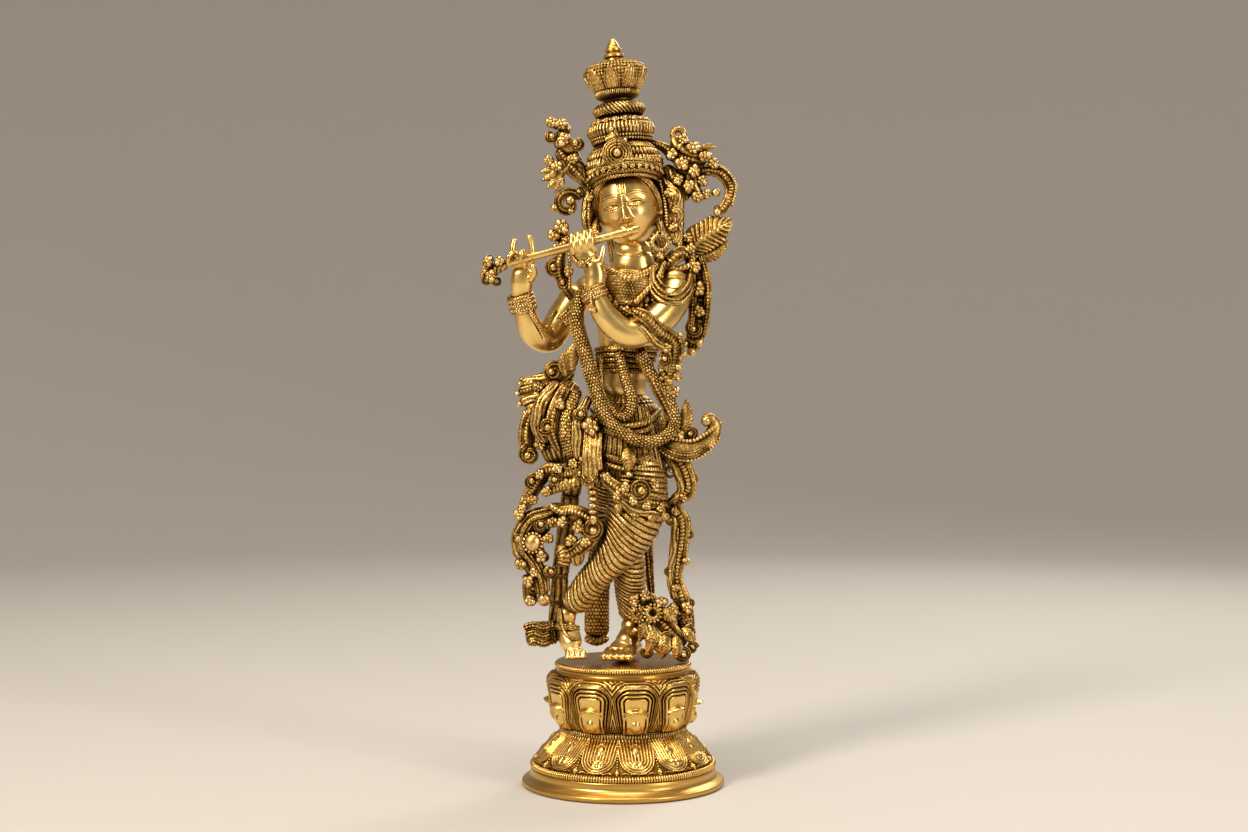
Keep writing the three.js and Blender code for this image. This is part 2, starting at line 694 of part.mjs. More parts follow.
const hairSprayRight = (grow) =>
  join([
    limb([[-12.5, 1, 193], [-18, 1, 199], [-24, 1, 205], [-24.5, 1, 211]], [2, 2.6, 3.4, 3.6], grow),
    limb([[-24.5, 1, 208], [-24, 1, 215]], [3.4, 7.4], grow, { flat: 0.6 }),
    limb([[-27, 1, 213], [-27.5, 1, 220.5]], [4, 2.6], grow, { sides: 6 }),
    limb([[-23, 1, 205], [-29, 1, 203], [-31, 1, 195]], [2.6, 3, 3.6], grow),
    limb([[-13, 1, 186], [-19, 1, 190.5], [-25, 1, 190], [-27.6, 1, 185.5]], 1.9, grow, { sides: 6 }),
    limb([[-14, 1, 193], [-15, 1, 188]], 1.8, grow, { sides: 6 }),
  ]);

const handFlowers = (grow) =>
  limb(
    [[-24, -10, 176], [-24.5, -9, 168], [-25, -8, 159], [-25, -5, 152], [-22, -2, 147]],
    [4, 2.2, 4, 2.6, 2],
    grow,
    { sides: 7 },
  );

const fanDrape = (grow) =>
  join([
    limb([[-19, 2, 128], [-24, 1.5, 118], [-31, 1, 110.5], [-40, 0.5, 108.5]], [4, 5, 5, 3.6], grow, {
      flat: 0.8,
    }),
    limb([[-24, 1, 114], [-32, 0, 104], [-40, 0, 102.5]], [4.4, 4, 2.8], grow, { flat: 0.8 }),
  ]);

const hipFold = (grow) =>
  join([
    limb([[-33, -1, 104], [-38.5, -1, 97], [-39, -1, 84]], [2, 3.4, 3.4], grow, { flat: 0.8 }),
    limb([[-24, -6, 112], [-28, -7, 98], [-25.5, -7.5, 85]], [3.4, 5.6, 4], grow, { flat: 0.55 }),
    limb([[-36, -2, 100], [-28, -6, 97]], 2.4, grow, { sides: 6 }),
    limb([[-15, -10, 104], [-20, -11, 94], [-21.5, -11, 86]], [2.6, 4.2, 2.8], grow, { flat: 0.6 }),
    limb([[-26, -7.5, 97], [-20, -10.5, 94]], 2.4, grow, { sides: 6 }),
  ]);

const scarfClusterRight = (grow) =>
  limb(
    [[-11, -11, 84], [-20, -9, 79.5], [-30, -5, 78], [-35.5, -3, 72], [-40, -3, 62]],
    [2.2, 2.6, 3.4, 3, 3.6],
    grow,
  );

const scarfScrollRight = (grow) =>
  limb(
    [
      [-25, -3, 62.5],
      [-32, -3, 60],
      [-40.5, -3, 56],
      [-41, -3, 47],
      [-37, -3, 40],
      [-33, -3, 33],
      [-32, -3, 25.5],
    ],
    [2.6, 3, 3.2, 4, 3.4, 2.6, 3.2],
    grow,
    { steps: 15 },
  );

const scarfScrollInner = (grow) =>
  limb(
    [[-25, -7, 61], [-18, -9, 60], [-13, -10, 56], [-15, -10.5, 50.5], [-22, -9, 43]],
    [2.2, 2.6, 3.8, 3.2, 4],
    grow,
  );

const capeRight = (grow) =>
  join([
    limb([[-18, 8, 92], [-25, 8, 60], [-27.5, 6, 32], [-28, 4, 7]], [6, 5, 4.4, 3.4], grow, { flat: 0.5 }),
    limb([[-37, 1.5, 37], [-37.8, 1, 31], [-37.6, 1, 22.5]], [2.4, 3.2, 3.2], grow),
    limb([[-29, 5, 34], [-37, 2, 34]], 1.8, grow, { sides: 6 }),
    limb([[-27, 4, 10.5], [-33, 3, 10.8], [-40.5, 1, 11.5]], [3.6, 4.6, 4.6], grow, { sides: 6 }),
  ]);

const backDrape = (grow) =>
  join([
    limb([[-3, 14, 82], [-8, 14.5, 50], [-11, 14.5, 28], [-11, 14, 7]], [6, 5.4, 4.6, 4.4], grow, {
      flat: 0.4,
    }),
    limb([[6, 14, 82], [9.6, 15, 50], [10.4, 15, 38], [12, 14, 25]], [6, 3, 2.4, 1.6], grow, { flat: 0.4 }),
    limb([[-5, 14, 80], [7, 14, 80]], 2.6, grow, { sides: 6 }),
  ]);

// ---- assembly -----------------------------------------------------------------------------------
// In the order in which they are fitted: a later casting is relieved where it meets an earlier one.
const placed = (makers) => Object.entries(makers);
const screws = Object.fromEntries(
  screwPlaces.map((place, i) => [`plinth_screw_${i + 1}`, [(grow) => screw(place, grow), "steel"]]),
);
const pedestal = placed({
  ...screws,
  plinth_plate: [plinthPlate, "turned_brass"],
  lower_lotus: [lowerLotus, "antique_brass"],
  waist_collar: [waistCollar, "antique_brass"],
  upper_lotus: [upperLotus, "antique_brass"],
  deck_plate: [deckPlate, "turned_brass"],
  foot_nut: [(grow) => nut(FOOT_STUD, grow), "steel"],
  foliage_nut: [(grow) => nut(FOLIAGE_STUD, grow), "steel"],
});
const fluteParts = placed({
  flute: [(grow) => flute(grow ? FLUTE_CLEARANCE : 0), "polished_brass"],
  flute_tassel: [fluteTassel, "antique_brass"],
});
const bodyParts = placed({
  skirt: [skirt, "antique_brass"],
  torso: [torso, "polished_brass"],
  left_leg: [leftLeg, "antique_brass"],
  right_leg: [rightLeg, "antique_brass"],
  head: [head, "polished_brass"],
  left_arm: [leftArm, "polished_brass"],
  left_hand: [leftHand, "polished_brass"],
  right_arm: [rightArm, "polished_brass"],
  right_hand: [rightHand, "polished_brass"],
});
const crownParts = placed({
  crown_band: [crownBand, "antique_brass"],
  crown_dome: [crownDome, "antique_brass"],
  crown_medallion: [crownMedallion, "antique_brass"],
  crown_spire: [crownSpire, "antique_brass"],
  crown_cup: [crownCup, "antique_brass"],
  crown_finial: [crownFinial, "turned_brass"],
  hair_back: [hairBack, "antique_brass"],
  side_lock_left: [sideLockLeft, "antique_brass"],
  side_lock_right: [sideLockRight, "antique_brass"],
  earring_left: [earringLeft, "antique_brass"],
  earring_right: [earringRight, "antique_brass"],
  hair_spray_left: [hairSprayLeft, "antique_brass"],
  hair_spray_right: [hairSprayRight, "antique_brass"],
});
const jewelleryParts = placed({
  left_armlet: [leftArmlet, "antique_brass"],
  left_bracelet: [leftBracelet, "antique_brass"],
  right_armlet: [rightArmlet, "antique_brass"],
  right_bracelet: [rightBracelet, "antique_brass"],
  left_anklet: [leftAnklet, "antique_brass"],
  right_anklet: [rightAnklet, "antique_brass"],
  necklace: [necklace, "antique_brass"],
  outer_garland: [outerGarland, "antique_brass"],
  inner_garland: [innerGarland, "antique_brass"],
  waistband: [waistband, "antique_brass"],
});
const drapery = placed({
  sash_tails: [sashTails, "antique_brass"],
  knee_flowers: [kneeFlowers, "antique_brass"],
  hip_scroll: [hipScroll, "antique_brass"],
  foot_foliage: [footFoliage, "antique_brass"],
  scarf_fall_left: [scarfFallLeft, "antique_brass"],
  elbow_scarf: [elbowScarf, "antique_brass"],
  shoulder_tassel: [shoulderTassel, "antique_brass"],
  shoulder_feather: [shoulderFeather, "antique_brass"],
  hand_flowers: [handFlowers, "antique_brass"],
  fan_drape: [fanDrape, "antique_brass"],
  hip_fold: [hipFold, "antique_brass"],
  scarf_cluster_right: [scarfClusterRight, "antique_brass"],
  scarf_scroll_right: [scarfScrollRight, "antique_brass"],
  scarf_scroll_inner: [scarfScrollInner, "antique_brass"],
  cape_right: [capeRight, "antique_brass"],
  back_drape: [backDrape, "antique_brass"],
});

const studs = { right_leg: FOOT_STUD, foot_foliage: FOLIAGE_STUD };
const fitted = [];

// Where two solids' boxes meet, a cut between them may take something off.
function near(a, b) {
  const [p, q] = [a.boundingBox(), b.boundingBox()];
  return [0, 1, 2].every((k) => p.min[k] < q.max[k] && q.min[k] < p.max[k]);
}

// One casting as a mesh about its own middle, relieved by SEAM where it meets what is already fitted.
function fit([name, [make, finish]]) {
  let solid = make(0);
  for (const earlier of fitted) if (near(solid, earlier)) solid = solid.subtract(earlier);
  solid = solid.decompose().sort((a, b) => b.volume() - a.volume())[0];
  if (studs[name]) solid = solid.add(stud(studs[name], STUD_R));
  fitted.push(make(SEAM));
  const box = solid.boundingBox();
  const middle = [0, 1, 2].map((k) => (box.min[k] + box.max[k]) / 2);
  const geometry = geometryOf(solid).translate(...middle.map((x) => -x));
  const mesh = new THREE.Mesh(geometry, new THREE.MeshStandardMaterial(finishes[finish]));
  mesh.name = name;
  mesh.position.set(...middle);
  return mesh;
}

function group(parts) {
  const made = new THREE.Group();
  for (const part of parts) made.add(fit(part));
  return made;
}

const statue = new THREE.Group();
for (const parts of [pedestal, fluteParts, bodyParts, crownParts, jewelleryParts, drapery]) {
  statue.add(group(parts));
}
export default statue;
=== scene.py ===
"""Chased and beaded brass looks for the flute-playing deity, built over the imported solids.

Figure coordinates are millimetres: x to the figure's left, y backwards, z up from the deck it stands on.
"""

import json
import math

import bmesh
import bpy
import numpy as np
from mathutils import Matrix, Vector


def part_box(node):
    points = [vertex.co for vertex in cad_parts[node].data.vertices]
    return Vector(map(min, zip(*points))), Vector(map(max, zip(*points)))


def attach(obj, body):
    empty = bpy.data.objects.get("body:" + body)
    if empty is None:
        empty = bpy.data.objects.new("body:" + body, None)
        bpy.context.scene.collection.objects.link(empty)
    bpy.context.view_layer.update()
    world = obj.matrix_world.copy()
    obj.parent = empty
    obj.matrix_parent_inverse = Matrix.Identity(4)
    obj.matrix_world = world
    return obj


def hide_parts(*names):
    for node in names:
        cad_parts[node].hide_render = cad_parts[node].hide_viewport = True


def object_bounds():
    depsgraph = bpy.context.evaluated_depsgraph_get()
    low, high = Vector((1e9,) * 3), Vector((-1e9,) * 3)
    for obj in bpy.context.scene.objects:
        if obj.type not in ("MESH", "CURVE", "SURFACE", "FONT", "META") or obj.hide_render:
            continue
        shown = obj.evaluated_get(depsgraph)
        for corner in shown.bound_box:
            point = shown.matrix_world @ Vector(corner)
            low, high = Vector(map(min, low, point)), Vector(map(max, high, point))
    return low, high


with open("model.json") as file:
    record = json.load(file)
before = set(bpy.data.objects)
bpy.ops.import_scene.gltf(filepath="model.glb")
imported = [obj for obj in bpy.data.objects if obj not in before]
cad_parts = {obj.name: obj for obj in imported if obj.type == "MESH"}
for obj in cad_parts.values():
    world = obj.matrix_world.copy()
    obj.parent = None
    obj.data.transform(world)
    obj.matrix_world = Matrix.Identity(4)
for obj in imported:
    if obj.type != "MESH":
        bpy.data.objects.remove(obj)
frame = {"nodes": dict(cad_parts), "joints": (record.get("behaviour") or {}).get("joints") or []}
cad_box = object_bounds()

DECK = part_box("deck_plate")[1].z  # the figure stands on this plane
FIGURE_HEIGHT = 255.2  # deck to finial tip, in figure millimetres
MM = (cad_box[1].z - DECK) / FIGURE_HEIGHT
TURN = 2 * math.pi
CAMERA_PLACE = (0.0004, -0.7175, 0.1502)
CAMERA_LENS = 50.5


# ---- meshes as arrays ---------------------------------------------------------------------------
# A part is (vertices, faces, relief): faces have four corners, or three and -1; relief runs from 0 in the
# chased ground to 1 on the high points, and drives the patina.
def part(vertices, faces, relief):
    relief = np.broadcast_to(np.asarray(relief, float), (len(vertices),))
    return np.asarray(vertices, float), np.asarray(faces, int), relief


def skin_of_rings(rings, relief, first, last):
    """Closes a stack of rings (rows x sides x 3) with one pole at each end."""
    rows, sides = rings.shape[:2]
    row, side = np.meshgrid(np.arange(rows - 1), np.arange(sides), indexing="ij")
    after = (side + 1) % sides
    corners = [row * sides + side, row * sides + after, (row + 1) * sides + after, (row + 1) * sides + side]
    quads = np.stack(corners, -1).reshape(-1, 4)
    near, far = rows * sides, rows * sides + 1
    at = np.arange(sides)
    nxt = (at + 1) % sides
    none = np.full(sides, -1)
    start = np.stack([np.full(sides, near), nxt, at, none], -1)
    base = (rows - 1) * sides
    end = np.stack([np.full(sides, far), base + at, base + nxt, none], -1)
    vertices = np.vstack([rings.reshape(-1, 3), first, last])
    heights = np.concatenate([relief.ravel(), [relief[0].mean(), relief[-1].mean()]])
    return part(vertices, np.vstack([quads, start, end]), heights)


def moved(made, shift):
    return made[0] + np.asarray(shift, float), made[1], made[2]


def tilted(made, degrees, about, axis="y"):
    """Turned about an axis through a point; a positive angle about y leans the top to the figure's left."""
    c, s = math.cos(math.radians(degrees)), math.sin(math.radians(degrees))
    turn = {
        "x": [[1, 0, 0], [0, c, -s], [0, s, c]],
        "y": [[c, 0, s], [0, 1, 0], [-s, 0, c]],
        "z": [[c, -s, 0], [s, c, 0], [0, 0, 1]],
    }[axis]
    about = np.asarray(about, float)
    return (made[0] - about) @ np.array(turn).T + about, made[1], made[2]


def joined(parts):
    offset, vertices, faces, relief = 0, [], [], []
    for v, f, r in parts:
        faces.append(np.where(f < 0, -1, f + offset))
        vertices.append(v)
        relief.append(r)
        offset += len(v)
    return np.vstack(vertices), np.vstack(faces), np.concatenate(relief)


# ---- curves -------------------------------------------------------------------------------------
def spline(points, step):
    """A centripetal Catmull-Rom curve at even spacing: places, share in control points, length so far."""
    p = np.asarray(points, float)
    p = np.vstack([2 * p[0] - p[1], p, 2 * p[-1] - p[-2]])
    u = np.linspace(0, 1, 32, endpoint=False)[:, None]
    places, shares = [], []
    for i in range(1, len(p) - 2):
        four = p[i - 1 : i + 3]
        gaps = np.maximum(np.linalg.norm(np.diff(four, axis=0), axis=1), 1e-6) ** 0.5
        k = np.concatenate([[0], np.cumsum(gaps)])
        t = k[1] + (k[2] - k[1]) * u

        def mix(a, b, low, high):
            return ((high - t) * a + (t - low) * b) / (high - low)

        a = [mix(four[j], four[j + 1], k[j], k[j + 1]) for j in range(3)]
        b = [mix(a[j], a[j + 1], k[j], k[j + 2]) for j in range(2)]
        places.append(mix(b[0], b[1], k[1], k[2]))
        shares.append(i - 1 + u[:, 0])
    places = np.vstack(places + [p[-2:-1]])
    shares = np.concatenate(shares + [[len(p) - 3.0]])
    lengths = np.concatenate([[0], np.cumsum(np.linalg.norm(np.diff(places, axis=0), axis=1))])
    count = max(4, int(math.ceil(lengths[-1] / step)) + 1)
    even = np.linspace(0, lengths[-1], count)
    at = np.stack([np.interp(even, lengths, places[:, k]) for k in range(3)], -1)
    return at, np.interp(even, lengths, shares), even


def unit(v):
    return v / np.maximum(np.linalg.norm(v, axis=-1, keepdims=True), 1e-9)


def spiral(centre, start, end, turns, first_angle, points=14):
    """Control points of a spiral in the front plane, from radius start to end, angles in degrees."""
    t = np.linspace(0, 1, points)
    angle = math.radians(first_angle) + turns * TURN * t
    radius = start + (end - start) * t
    x, y, z = centre
    return np.stack([x + radius * np.cos(angle), np.full_like(t, y), z + radius * np.sin(angle)], -1)


# ---- reliefs: functions of length along, angle round and local radius, from 0 to 1 ---------------
def bell(x, width):
    return np.exp(-((x / width) ** 2))


def wrap(x):
    """Distance from the middle of the cell, -0.5 to 0.5."""
    return x - np.floor(x) - 0.5


def dome(x, y):
    return np.sqrt(np.clip(1 - 4 * (x**2 + y**2), 0, 1))


def smooth_relief(s, a, r):
    return np.full(np.broadcast(s, a).shape, 0.75)


def pinecone(pitch=1.5):
    def relief(s, a, r):
        count = max(6, round(TURN * float(np.mean(r)) / pitch))
        row = s / (pitch * 0.87)
        column = a * count / TURN + 0.5 * (np.floor(row) % 2)
        return dome(wrap(row) * 0.9, wrap(column))

    return relief


def rings(pitch=1.6, beaded_every=0):
    def relief(s, a, r):
        band = np.abs(np.sin(np.pi * s / pitch)) ** 0.6
        if not beaded_every:
            return band
        count = max(8, round(TURN * float(np.mean(r)) / pitch))
        beads = dome(wrap(s / pitch), wrap(a * count / TURN))
        return np.where(np.floor(s / pitch) % beaded_every == 0, beads, band)

    return relief


def rope(pitch=1.6, starts=3):
    def relief(s, a, r):
        return np.abs(np.sin(np.pi * s / pitch + starts * a / 2)) ** 0.6

    return relief


def strands(count=16, wave=0.25, length=14.0):
    def relief(s, a, r):
        drift = wave * np.sin(TURN * s / length)
        return np.abs(np.sin(count * a / 2 + drift * 4)) ** 0.7

    return relief


def scarf(pitch=1.5):
    """A band with a row of beads down the middle and a cord along each edge."""

    def relief(s, a, r):
        c = np.cos(a)
        middle = np.sqrt(np.clip(1 - (c / 0.3) ** 2 - 4 * wrap(s / pitch) ** 2, 0, 1))
        edge = bell(np.abs(c) - 0.82, 0.18) * (0.55 + 0.45 * np.abs(np.sin(np.pi * s / (pitch * 0.7))))
        line = 0.55 * bell(np.abs(c) - 0.5, 0.08)
        return np.maximum.reduce([middle, edge, line, np.full_like(middle, 0.12)])

    return relief


def barbs(pitch=1.3):
    """A leaf or feather: a midrib with slanting veins."""

    def relief(s, a, r):
        c = np.cos(a)
        veins = 0.8 * np.abs(np.sin(np.pi * (s / pitch - 1.8 * np.abs(c)))) ** 0.7
        return np.maximum(bell(c, 0.14), veins)

    return relief


def folds(count=11, hem=1.5):
    """Cloth in long folds, with beaded lines across it."""

    def relief(s, a, r):
        fold = np.abs(np.sin(count * a / 2 + 0.5 * np.sin(s / 5))) ** 0.7
        beads = dome(wrap(s / hem), wrap(a * 26 / TURN))
        line = bell(wrap(s / 11.0) * 11.0, 0.9)
        return np.maximum(fold * (1 - line), beads * line)

    return relief


# ---- shapes -------------------------------------------------------------------------------------
def tube(
    points,
    radii,
    relief=smooth_relief,
    depth=0.5,
    flat=1.0,
    thin=(0, 1, 0),
    sides=28,
    step=0.4,
    blunt=0.8,
):
    """A bar along a path, round or flattened along thin, with rounded ends and a relief depth mm deep."""
    path, share, s = spline(points, step)
    radii = np.atleast_1d(np.asarray(radii, float))
    radius = np.interp(
        share, np.linspace(0, len(points) - 1, len(radii)), radii
    ) if len(radii) > 1 else radii[0]
    radius = np.broadcast_to(radius, s.shape)
    tangent = unit(np.gradient(path, axis=0))
    thin = np.asarray(thin, float)
    back = unit(thin - (tangent @ thin)[:, None] * tangent)
    side = np.cross(back, tangent)

    def closing(distance, reach):
        return np.sqrt(1 - (1 - np.clip(distance / reach, 0, 1)) ** 2)

    ends = closing(s, max(radius[0] * blunt, step)) * closing(s[-1] - s, max(radius[-1] * blunt, step))
    inner = slice(1, -1)
    a = TURN * np.arange(sides) / sides
    big_s, big_a = np.meshgrid(s[inner], a, indexing="ij")
    big_r = np.repeat(radius[inner, None], sides, 1)
    height = relief(big_s, big_a, big_r)
    dip = depth * (height - 1) * ends[inner, None]
    wide = big_r * ends[inner, None] + dip
    deep = big_r * flat * ends[inner, None] + dip
    floor = 0.12
    wide, deep = np.maximum(wide, floor), np.maximum(deep, floor)
    across = side[inner, None] * (np.cos(big_a) * wide)[..., None]
    through = back[inner, None] * (np.sin(big_a) * deep)[..., None]
    return skin_of_rings(path[inner, None] + across + through, height, path[:1], path[-1:])


def lathe(profile, relief=None, depth=0.5, centre=(0, 0), sides=180, step=0.5):
    """Turned about a vertical axis, bottom to top; relief(angle, share of height, radius) adds depth mm."""
    profile = np.asarray(profile, float)
    lengths = np.concatenate([[0], np.cumsum(np.linalg.norm(np.diff(profile, axis=0), axis=1))])
    s = np.unique(np.concatenate([np.arange(0, lengths[-1], step), lengths]))
    r = np.interp(s, lengths, profile[:, 0])
    z = np.interp(s, lengths, profile[:, 1])
    inner = (r > 1e-6)
    r_in, z_in, s_in = r[inner], z[inner], s[inner]
    a = TURN * np.arange(sides) / sides
    big_a, big_r = np.meshgrid(a, r_in)
    big_z = np.repeat(z_in[:, None], sides, 1)
    if relief is None:
        height = np.full(big_a.shape, 0.8)
        bump = 0 * height
    else:
        height = relief(big_a, np.repeat((s_in / lengths[-1])[:, None], sides, 1), big_z)
        bump = depth * height
    slope = unit(np.stack([np.gradient(z_in), -np.gradient(r_in)], -1))
    reach = big_r + bump * slope[:, :1]
    rise = big_z + bump * slope[:, 1:]
    rings_ = np.stack([centre[0] + reach * np.cos(big_a), centre[1] + reach * np.sin(big_a), rise], -1)
    low = [[centre[0], centre[1], z[0]]]
    high = [[centre[0], centre[1], z[-1]]]
    return skin_of_rings(rings_, np.clip(height, 0, 1), low, high)


def bead_shape(detail):
    made = bmesh.new()
    bmesh.ops.create_icosphere(made, subdivisions=detail, radius=1)
    vertices = np.array([v.co[:] for v in made.verts])
    faces = np.array([[v.index for v in f.verts] + [-1] for f in made.faces])
    made.free()
    return vertices, faces


BEAD = bead_shape(2)
PEARL = bead_shape(3)


def balls(centres, radius, squash=(1, 1, 1), shape=BEAD):
    centres = np.atleast_2d(np.asarray(centres, float))
    radius = np.broadcast_to(np.asarray(radius, float), (len(centres),))
    vertices, faces = shape
    all_v = centres[:, None] + radius[:, None, None] * vertices * np.asarray(squash, float)
    offsets = np.arange(len(centres))[:, None, None] * len(vertices)
    all_f = np.where(faces < 0, -1, faces + offsets)
    return part(all_v.reshape(-1, 3), all_f.reshape(-1, 4), 0.95)


def chain(points, radius=0.7):
    """A row of beads along a path."""
    path, _, _ = spline(points, radius * 1.7)
    return balls(path, radius)


def flower(centre, radius, petals=5, face=(0, -1, 0)):
    """A carved rosette: round lobes of uneven size pressed together round a pitted boss."""
    thick = 0.6
    facing = unit(np.asarray(face, float))
    side = unit(np.cross([0, 0, 1], facing)) if abs(facing[2]) < 0.9 else np.array([1.0, 0, 0])
    above = np.cross(facing, side)
    vertices, faces = BEAD
    axes = np.stack([side, above, facing])
    centre = np.asarray(centre, float)
    body = vertices * [0.82, 0.82, 0.66] @ axes
    made = [part(centre + body * radius, faces, np.clip(0.25 + 0.5 * vertices[:, 2], 0.05, 0.6))]
    first = float(centre @ [1.7, 0.9, 2.3])
    for k in range(petals):
        angle = first + TURN * k / petals
        size = 0.86 + 0.26 * math.sin(first * 3 + 2.4 * k)
        turned_axes = np.stack(
            [
                side * math.cos(angle) + above * math.sin(angle),
                above * math.cos(angle) - side * math.sin(angle),
                facing,
            ]
        )
        lobe = vertices * [0.47 * size, min(0.55, 2.6 / petals) * size, 1.15 * thick * size] + [0.5, 0, 0.1]
        relief = np.clip(0.5 + 0.6 * vertices[:, 2] + 0.2 * vertices[:, 0], 0.05, 1)
        made.append(part(centre + lobe @ turned_axes * radius, faces, relief))
    boss = (vertices * 0.28 + [0, 0, 0.85 * thick]) @ axes
    made.append(part(centre + boss * radius, faces, np.clip(0.4 + vertices[:, 2], 0.1, 1)))
    return joined(made)


def blossoms(rows):
    """Rosettes from rows of x, y, z and radius, some of five lobes and some of six."""
    return [flower((x, y, z), radius, 5 + int(radius * 10) % 2) for x, y, z, radius in rows]


def leaf(base, tip, width, bend=(0, 0, 0), thin=(0, 1, 0), flat=0.3):
    """A pointed leaf with a midrib and veins, bowed at its middle."""
    base, tip, bend = (np.asarray(p, float) for p in (base, tip, bend))
    middle = (base + tip) / 2 + bend
    points = [base, (base + middle) / 2 + bend * 0.15, middle, (middle + tip) / 2 + bend * 0.15, tip]
    widths = [width * 0.35, width * 0.85, width, width * 0.72, width * 0.12]
    return tube(points, widths, barbs(), 0.35, flat, thin, sides=24, step=0.35)


def curl(centre, size, turns=1.2, start=0.0, radius=1.5):
    """A scroll that tightens to its middle, with a bead at its eye."""
    path = spiral(centre, size, size * 0.28, turns, start)
    scroll = tube(path, [radius, radius, radius * 0.6], scarf(1.3), 0.4, 0.8, sides=20)
    eye = balls([path[-1] + [0, -0.5, 0]], radius * 0.9, shape=PEARL)
    return joined([scroll, eye])


# ---- objects ------------------------------------------------------------------------------------
def mesh_object(name, made, origin_at_deck=True):
    vertices, faces, relief = made
    place = vertices * MM
    if origin_at_deck:
        place = place + np.array([0, 0, DECK])
    triangle = faces[:, 3] < 0
    totals = np.where(triangle, 3, 4)
    corners = faces.reshape(-1)
    corners = corners[corners >= 0]
    mesh = bpy.data.meshes.new(name)
    mesh.vertices.add(len(place))
    mesh.vertices.foreach_set("co", place.astype(np.float32).ravel())
    mesh.loops.add(len(corners))
    mesh.loops.foreach_set("vertex_index", corners.astype(np.int32))
    mesh.polygons.add(len(faces))
    mesh.polygons.foreach_set("loop_start", np.concatenate([[0], np.cumsum(totals)[:-1]]).astype(np.int32))
    mesh.polygons.foreach_set("loop_total", totals.astype(np.int32))
    mesh.polygons.foreach_set("use_smooth", np.ones(len(faces), bool))
    mesh.update(calc_edges=True)
    mesh.attributes.new("relief", "FLOAT", "POINT").data.foreach_set("value", relief.astype(np.float32))
    obj = bpy.data.objects.new(name, mesh)
    bpy.context.scene.collection.objects.link(obj)
    return obj


def fuse(obj, voxel, rounds):
    """Melts overlapping shapes into one skin and softens the joints between them."""
    remesh = obj.modifiers.new("fuse", "REMESH")
    remesh.mode = "VOXEL"
    remesh.voxel_size = voxel * MM
    soften = obj.modifiers.new("soften", "SMOOTH")
    soften.factor = 0.5
    soften.iterations = rounds
    evaluated = obj.evaluated_get(bpy.context.evaluated_depsgraph_get())
    skin = bpy.data.meshes.new_from_object(evaluated)
    obj.modifiers.clear()
    obj.data = skin
    skin.polygons.foreach_set("use_smooth", np.ones(len(skin.polygons), bool))
    relief = skin.attributes.get("relief") or skin.attributes.new("relief", "FLOAT", "POINT")
    relief.data.foreach_set("value", np.full(len(skin.vertices), 0.85, np.float32))


def piece(node, parts, finish, suffix="cast", body="figure", voxel=0.0, rounds=6):
    """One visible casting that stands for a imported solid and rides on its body."""
    on_deck = not node.startswith(("plinth", "lower", "waist", "upper", "deck"))
    obj = mesh_object(f"{node}_{suffix}", joined(parts), on_deck)
    if voxel:
        fuse(obj, voxel, rounds)
    obj.data.materials.append(MATERIALS[finish])
    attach(obj, body)
    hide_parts(node)
    return obj


class Nodes:
    """Short calls for building a material's node tree."""

    def __init__(self, name):
        self.material = bpy.data.materials.new(name)
        self.material.use_nodes = True
        self.tree = self.material.node_tree
        self.shader = self.tree.nodes["Principled BSDF"]

    def add(self, kind, inputs=None, **settings):
        node = self.tree.nodes.new(kind)
        for key, value in settings.items():
            setattr(node, key, value)
        for key, value in (inputs or {}).items():
            self.put(node.inputs[key], value)
        return node

    def put(self, socket, value):
        if isinstance(value, bpy.types.NodeSocket):
            self.tree.links.new(value, socket)
        else:
            socket.default_value = value

    def noise(self, scale, detail=3.0, vector=None):
        node = self.add("ShaderNodeTexNoise", {"Scale": scale, "Detail": detail})
        self.put(node.inputs["Vector"], vector or self.position())
        return node.outputs["Fac"]

    def position(self):
        return self.add("ShaderNodeTexCoord").outputs["Object"]

    def remap(self, value, low, high, to_low, to_high):
        node = self.add(
            "ShaderNodeMapRange", {"From Min": low, "From Max": high, "To Min": to_low, "To Max": to_high}
        )
        self.put(node.inputs["Value"], value)
        return node.outputs["Result"]

    def maths(self, operation, a, b):
        node = self.add("ShaderNodeMath", operation=operation)
        self.put(node.inputs[0], a)
        self.put(node.inputs[1], b)
        return node.outputs[0]

    def ramp(self, value, stops):
        node = self.add("ShaderNodeValToRGB")
        elements = node.color_ramp.elements
        while len(elements) < len(stops):
            elements.new(0.5)
        for element, (place, colour) in zip(elements, stops):
            element.position = place
            element.color = (*colour, 1)
        self.put(node.inputs["Fac"], value)
        return node.outputs["Color"]

    def bump(self, height, strength, distance):
        node = self.add("ShaderNodeBump", {"Strength": strength, "Distance": distance})
        self.put(node.inputs["Height"], height)
        self.put(self.shader.inputs["Normal"], node.outputs["Normal"])

    # Ambient-occlusion factor for colour: painted shade that darkens crevices and the gaps between
    # neighbouring parts
    def painted_crevice_shade(self, distance):
        node = self.add("ShaderNodeAmbientOcclusion", samples=8)
        node.inputs["Distance"].default_value = distance
        return node.outputs["AO"]

    def finish(self, colour, roughness):
        self.put(self.shader.inputs["Base Color"], colour)
        self.put(self.shader.inputs["Roughness"], roughness)
        self.shader.inputs["Metallic"].default_value = 1.0
        return self.material


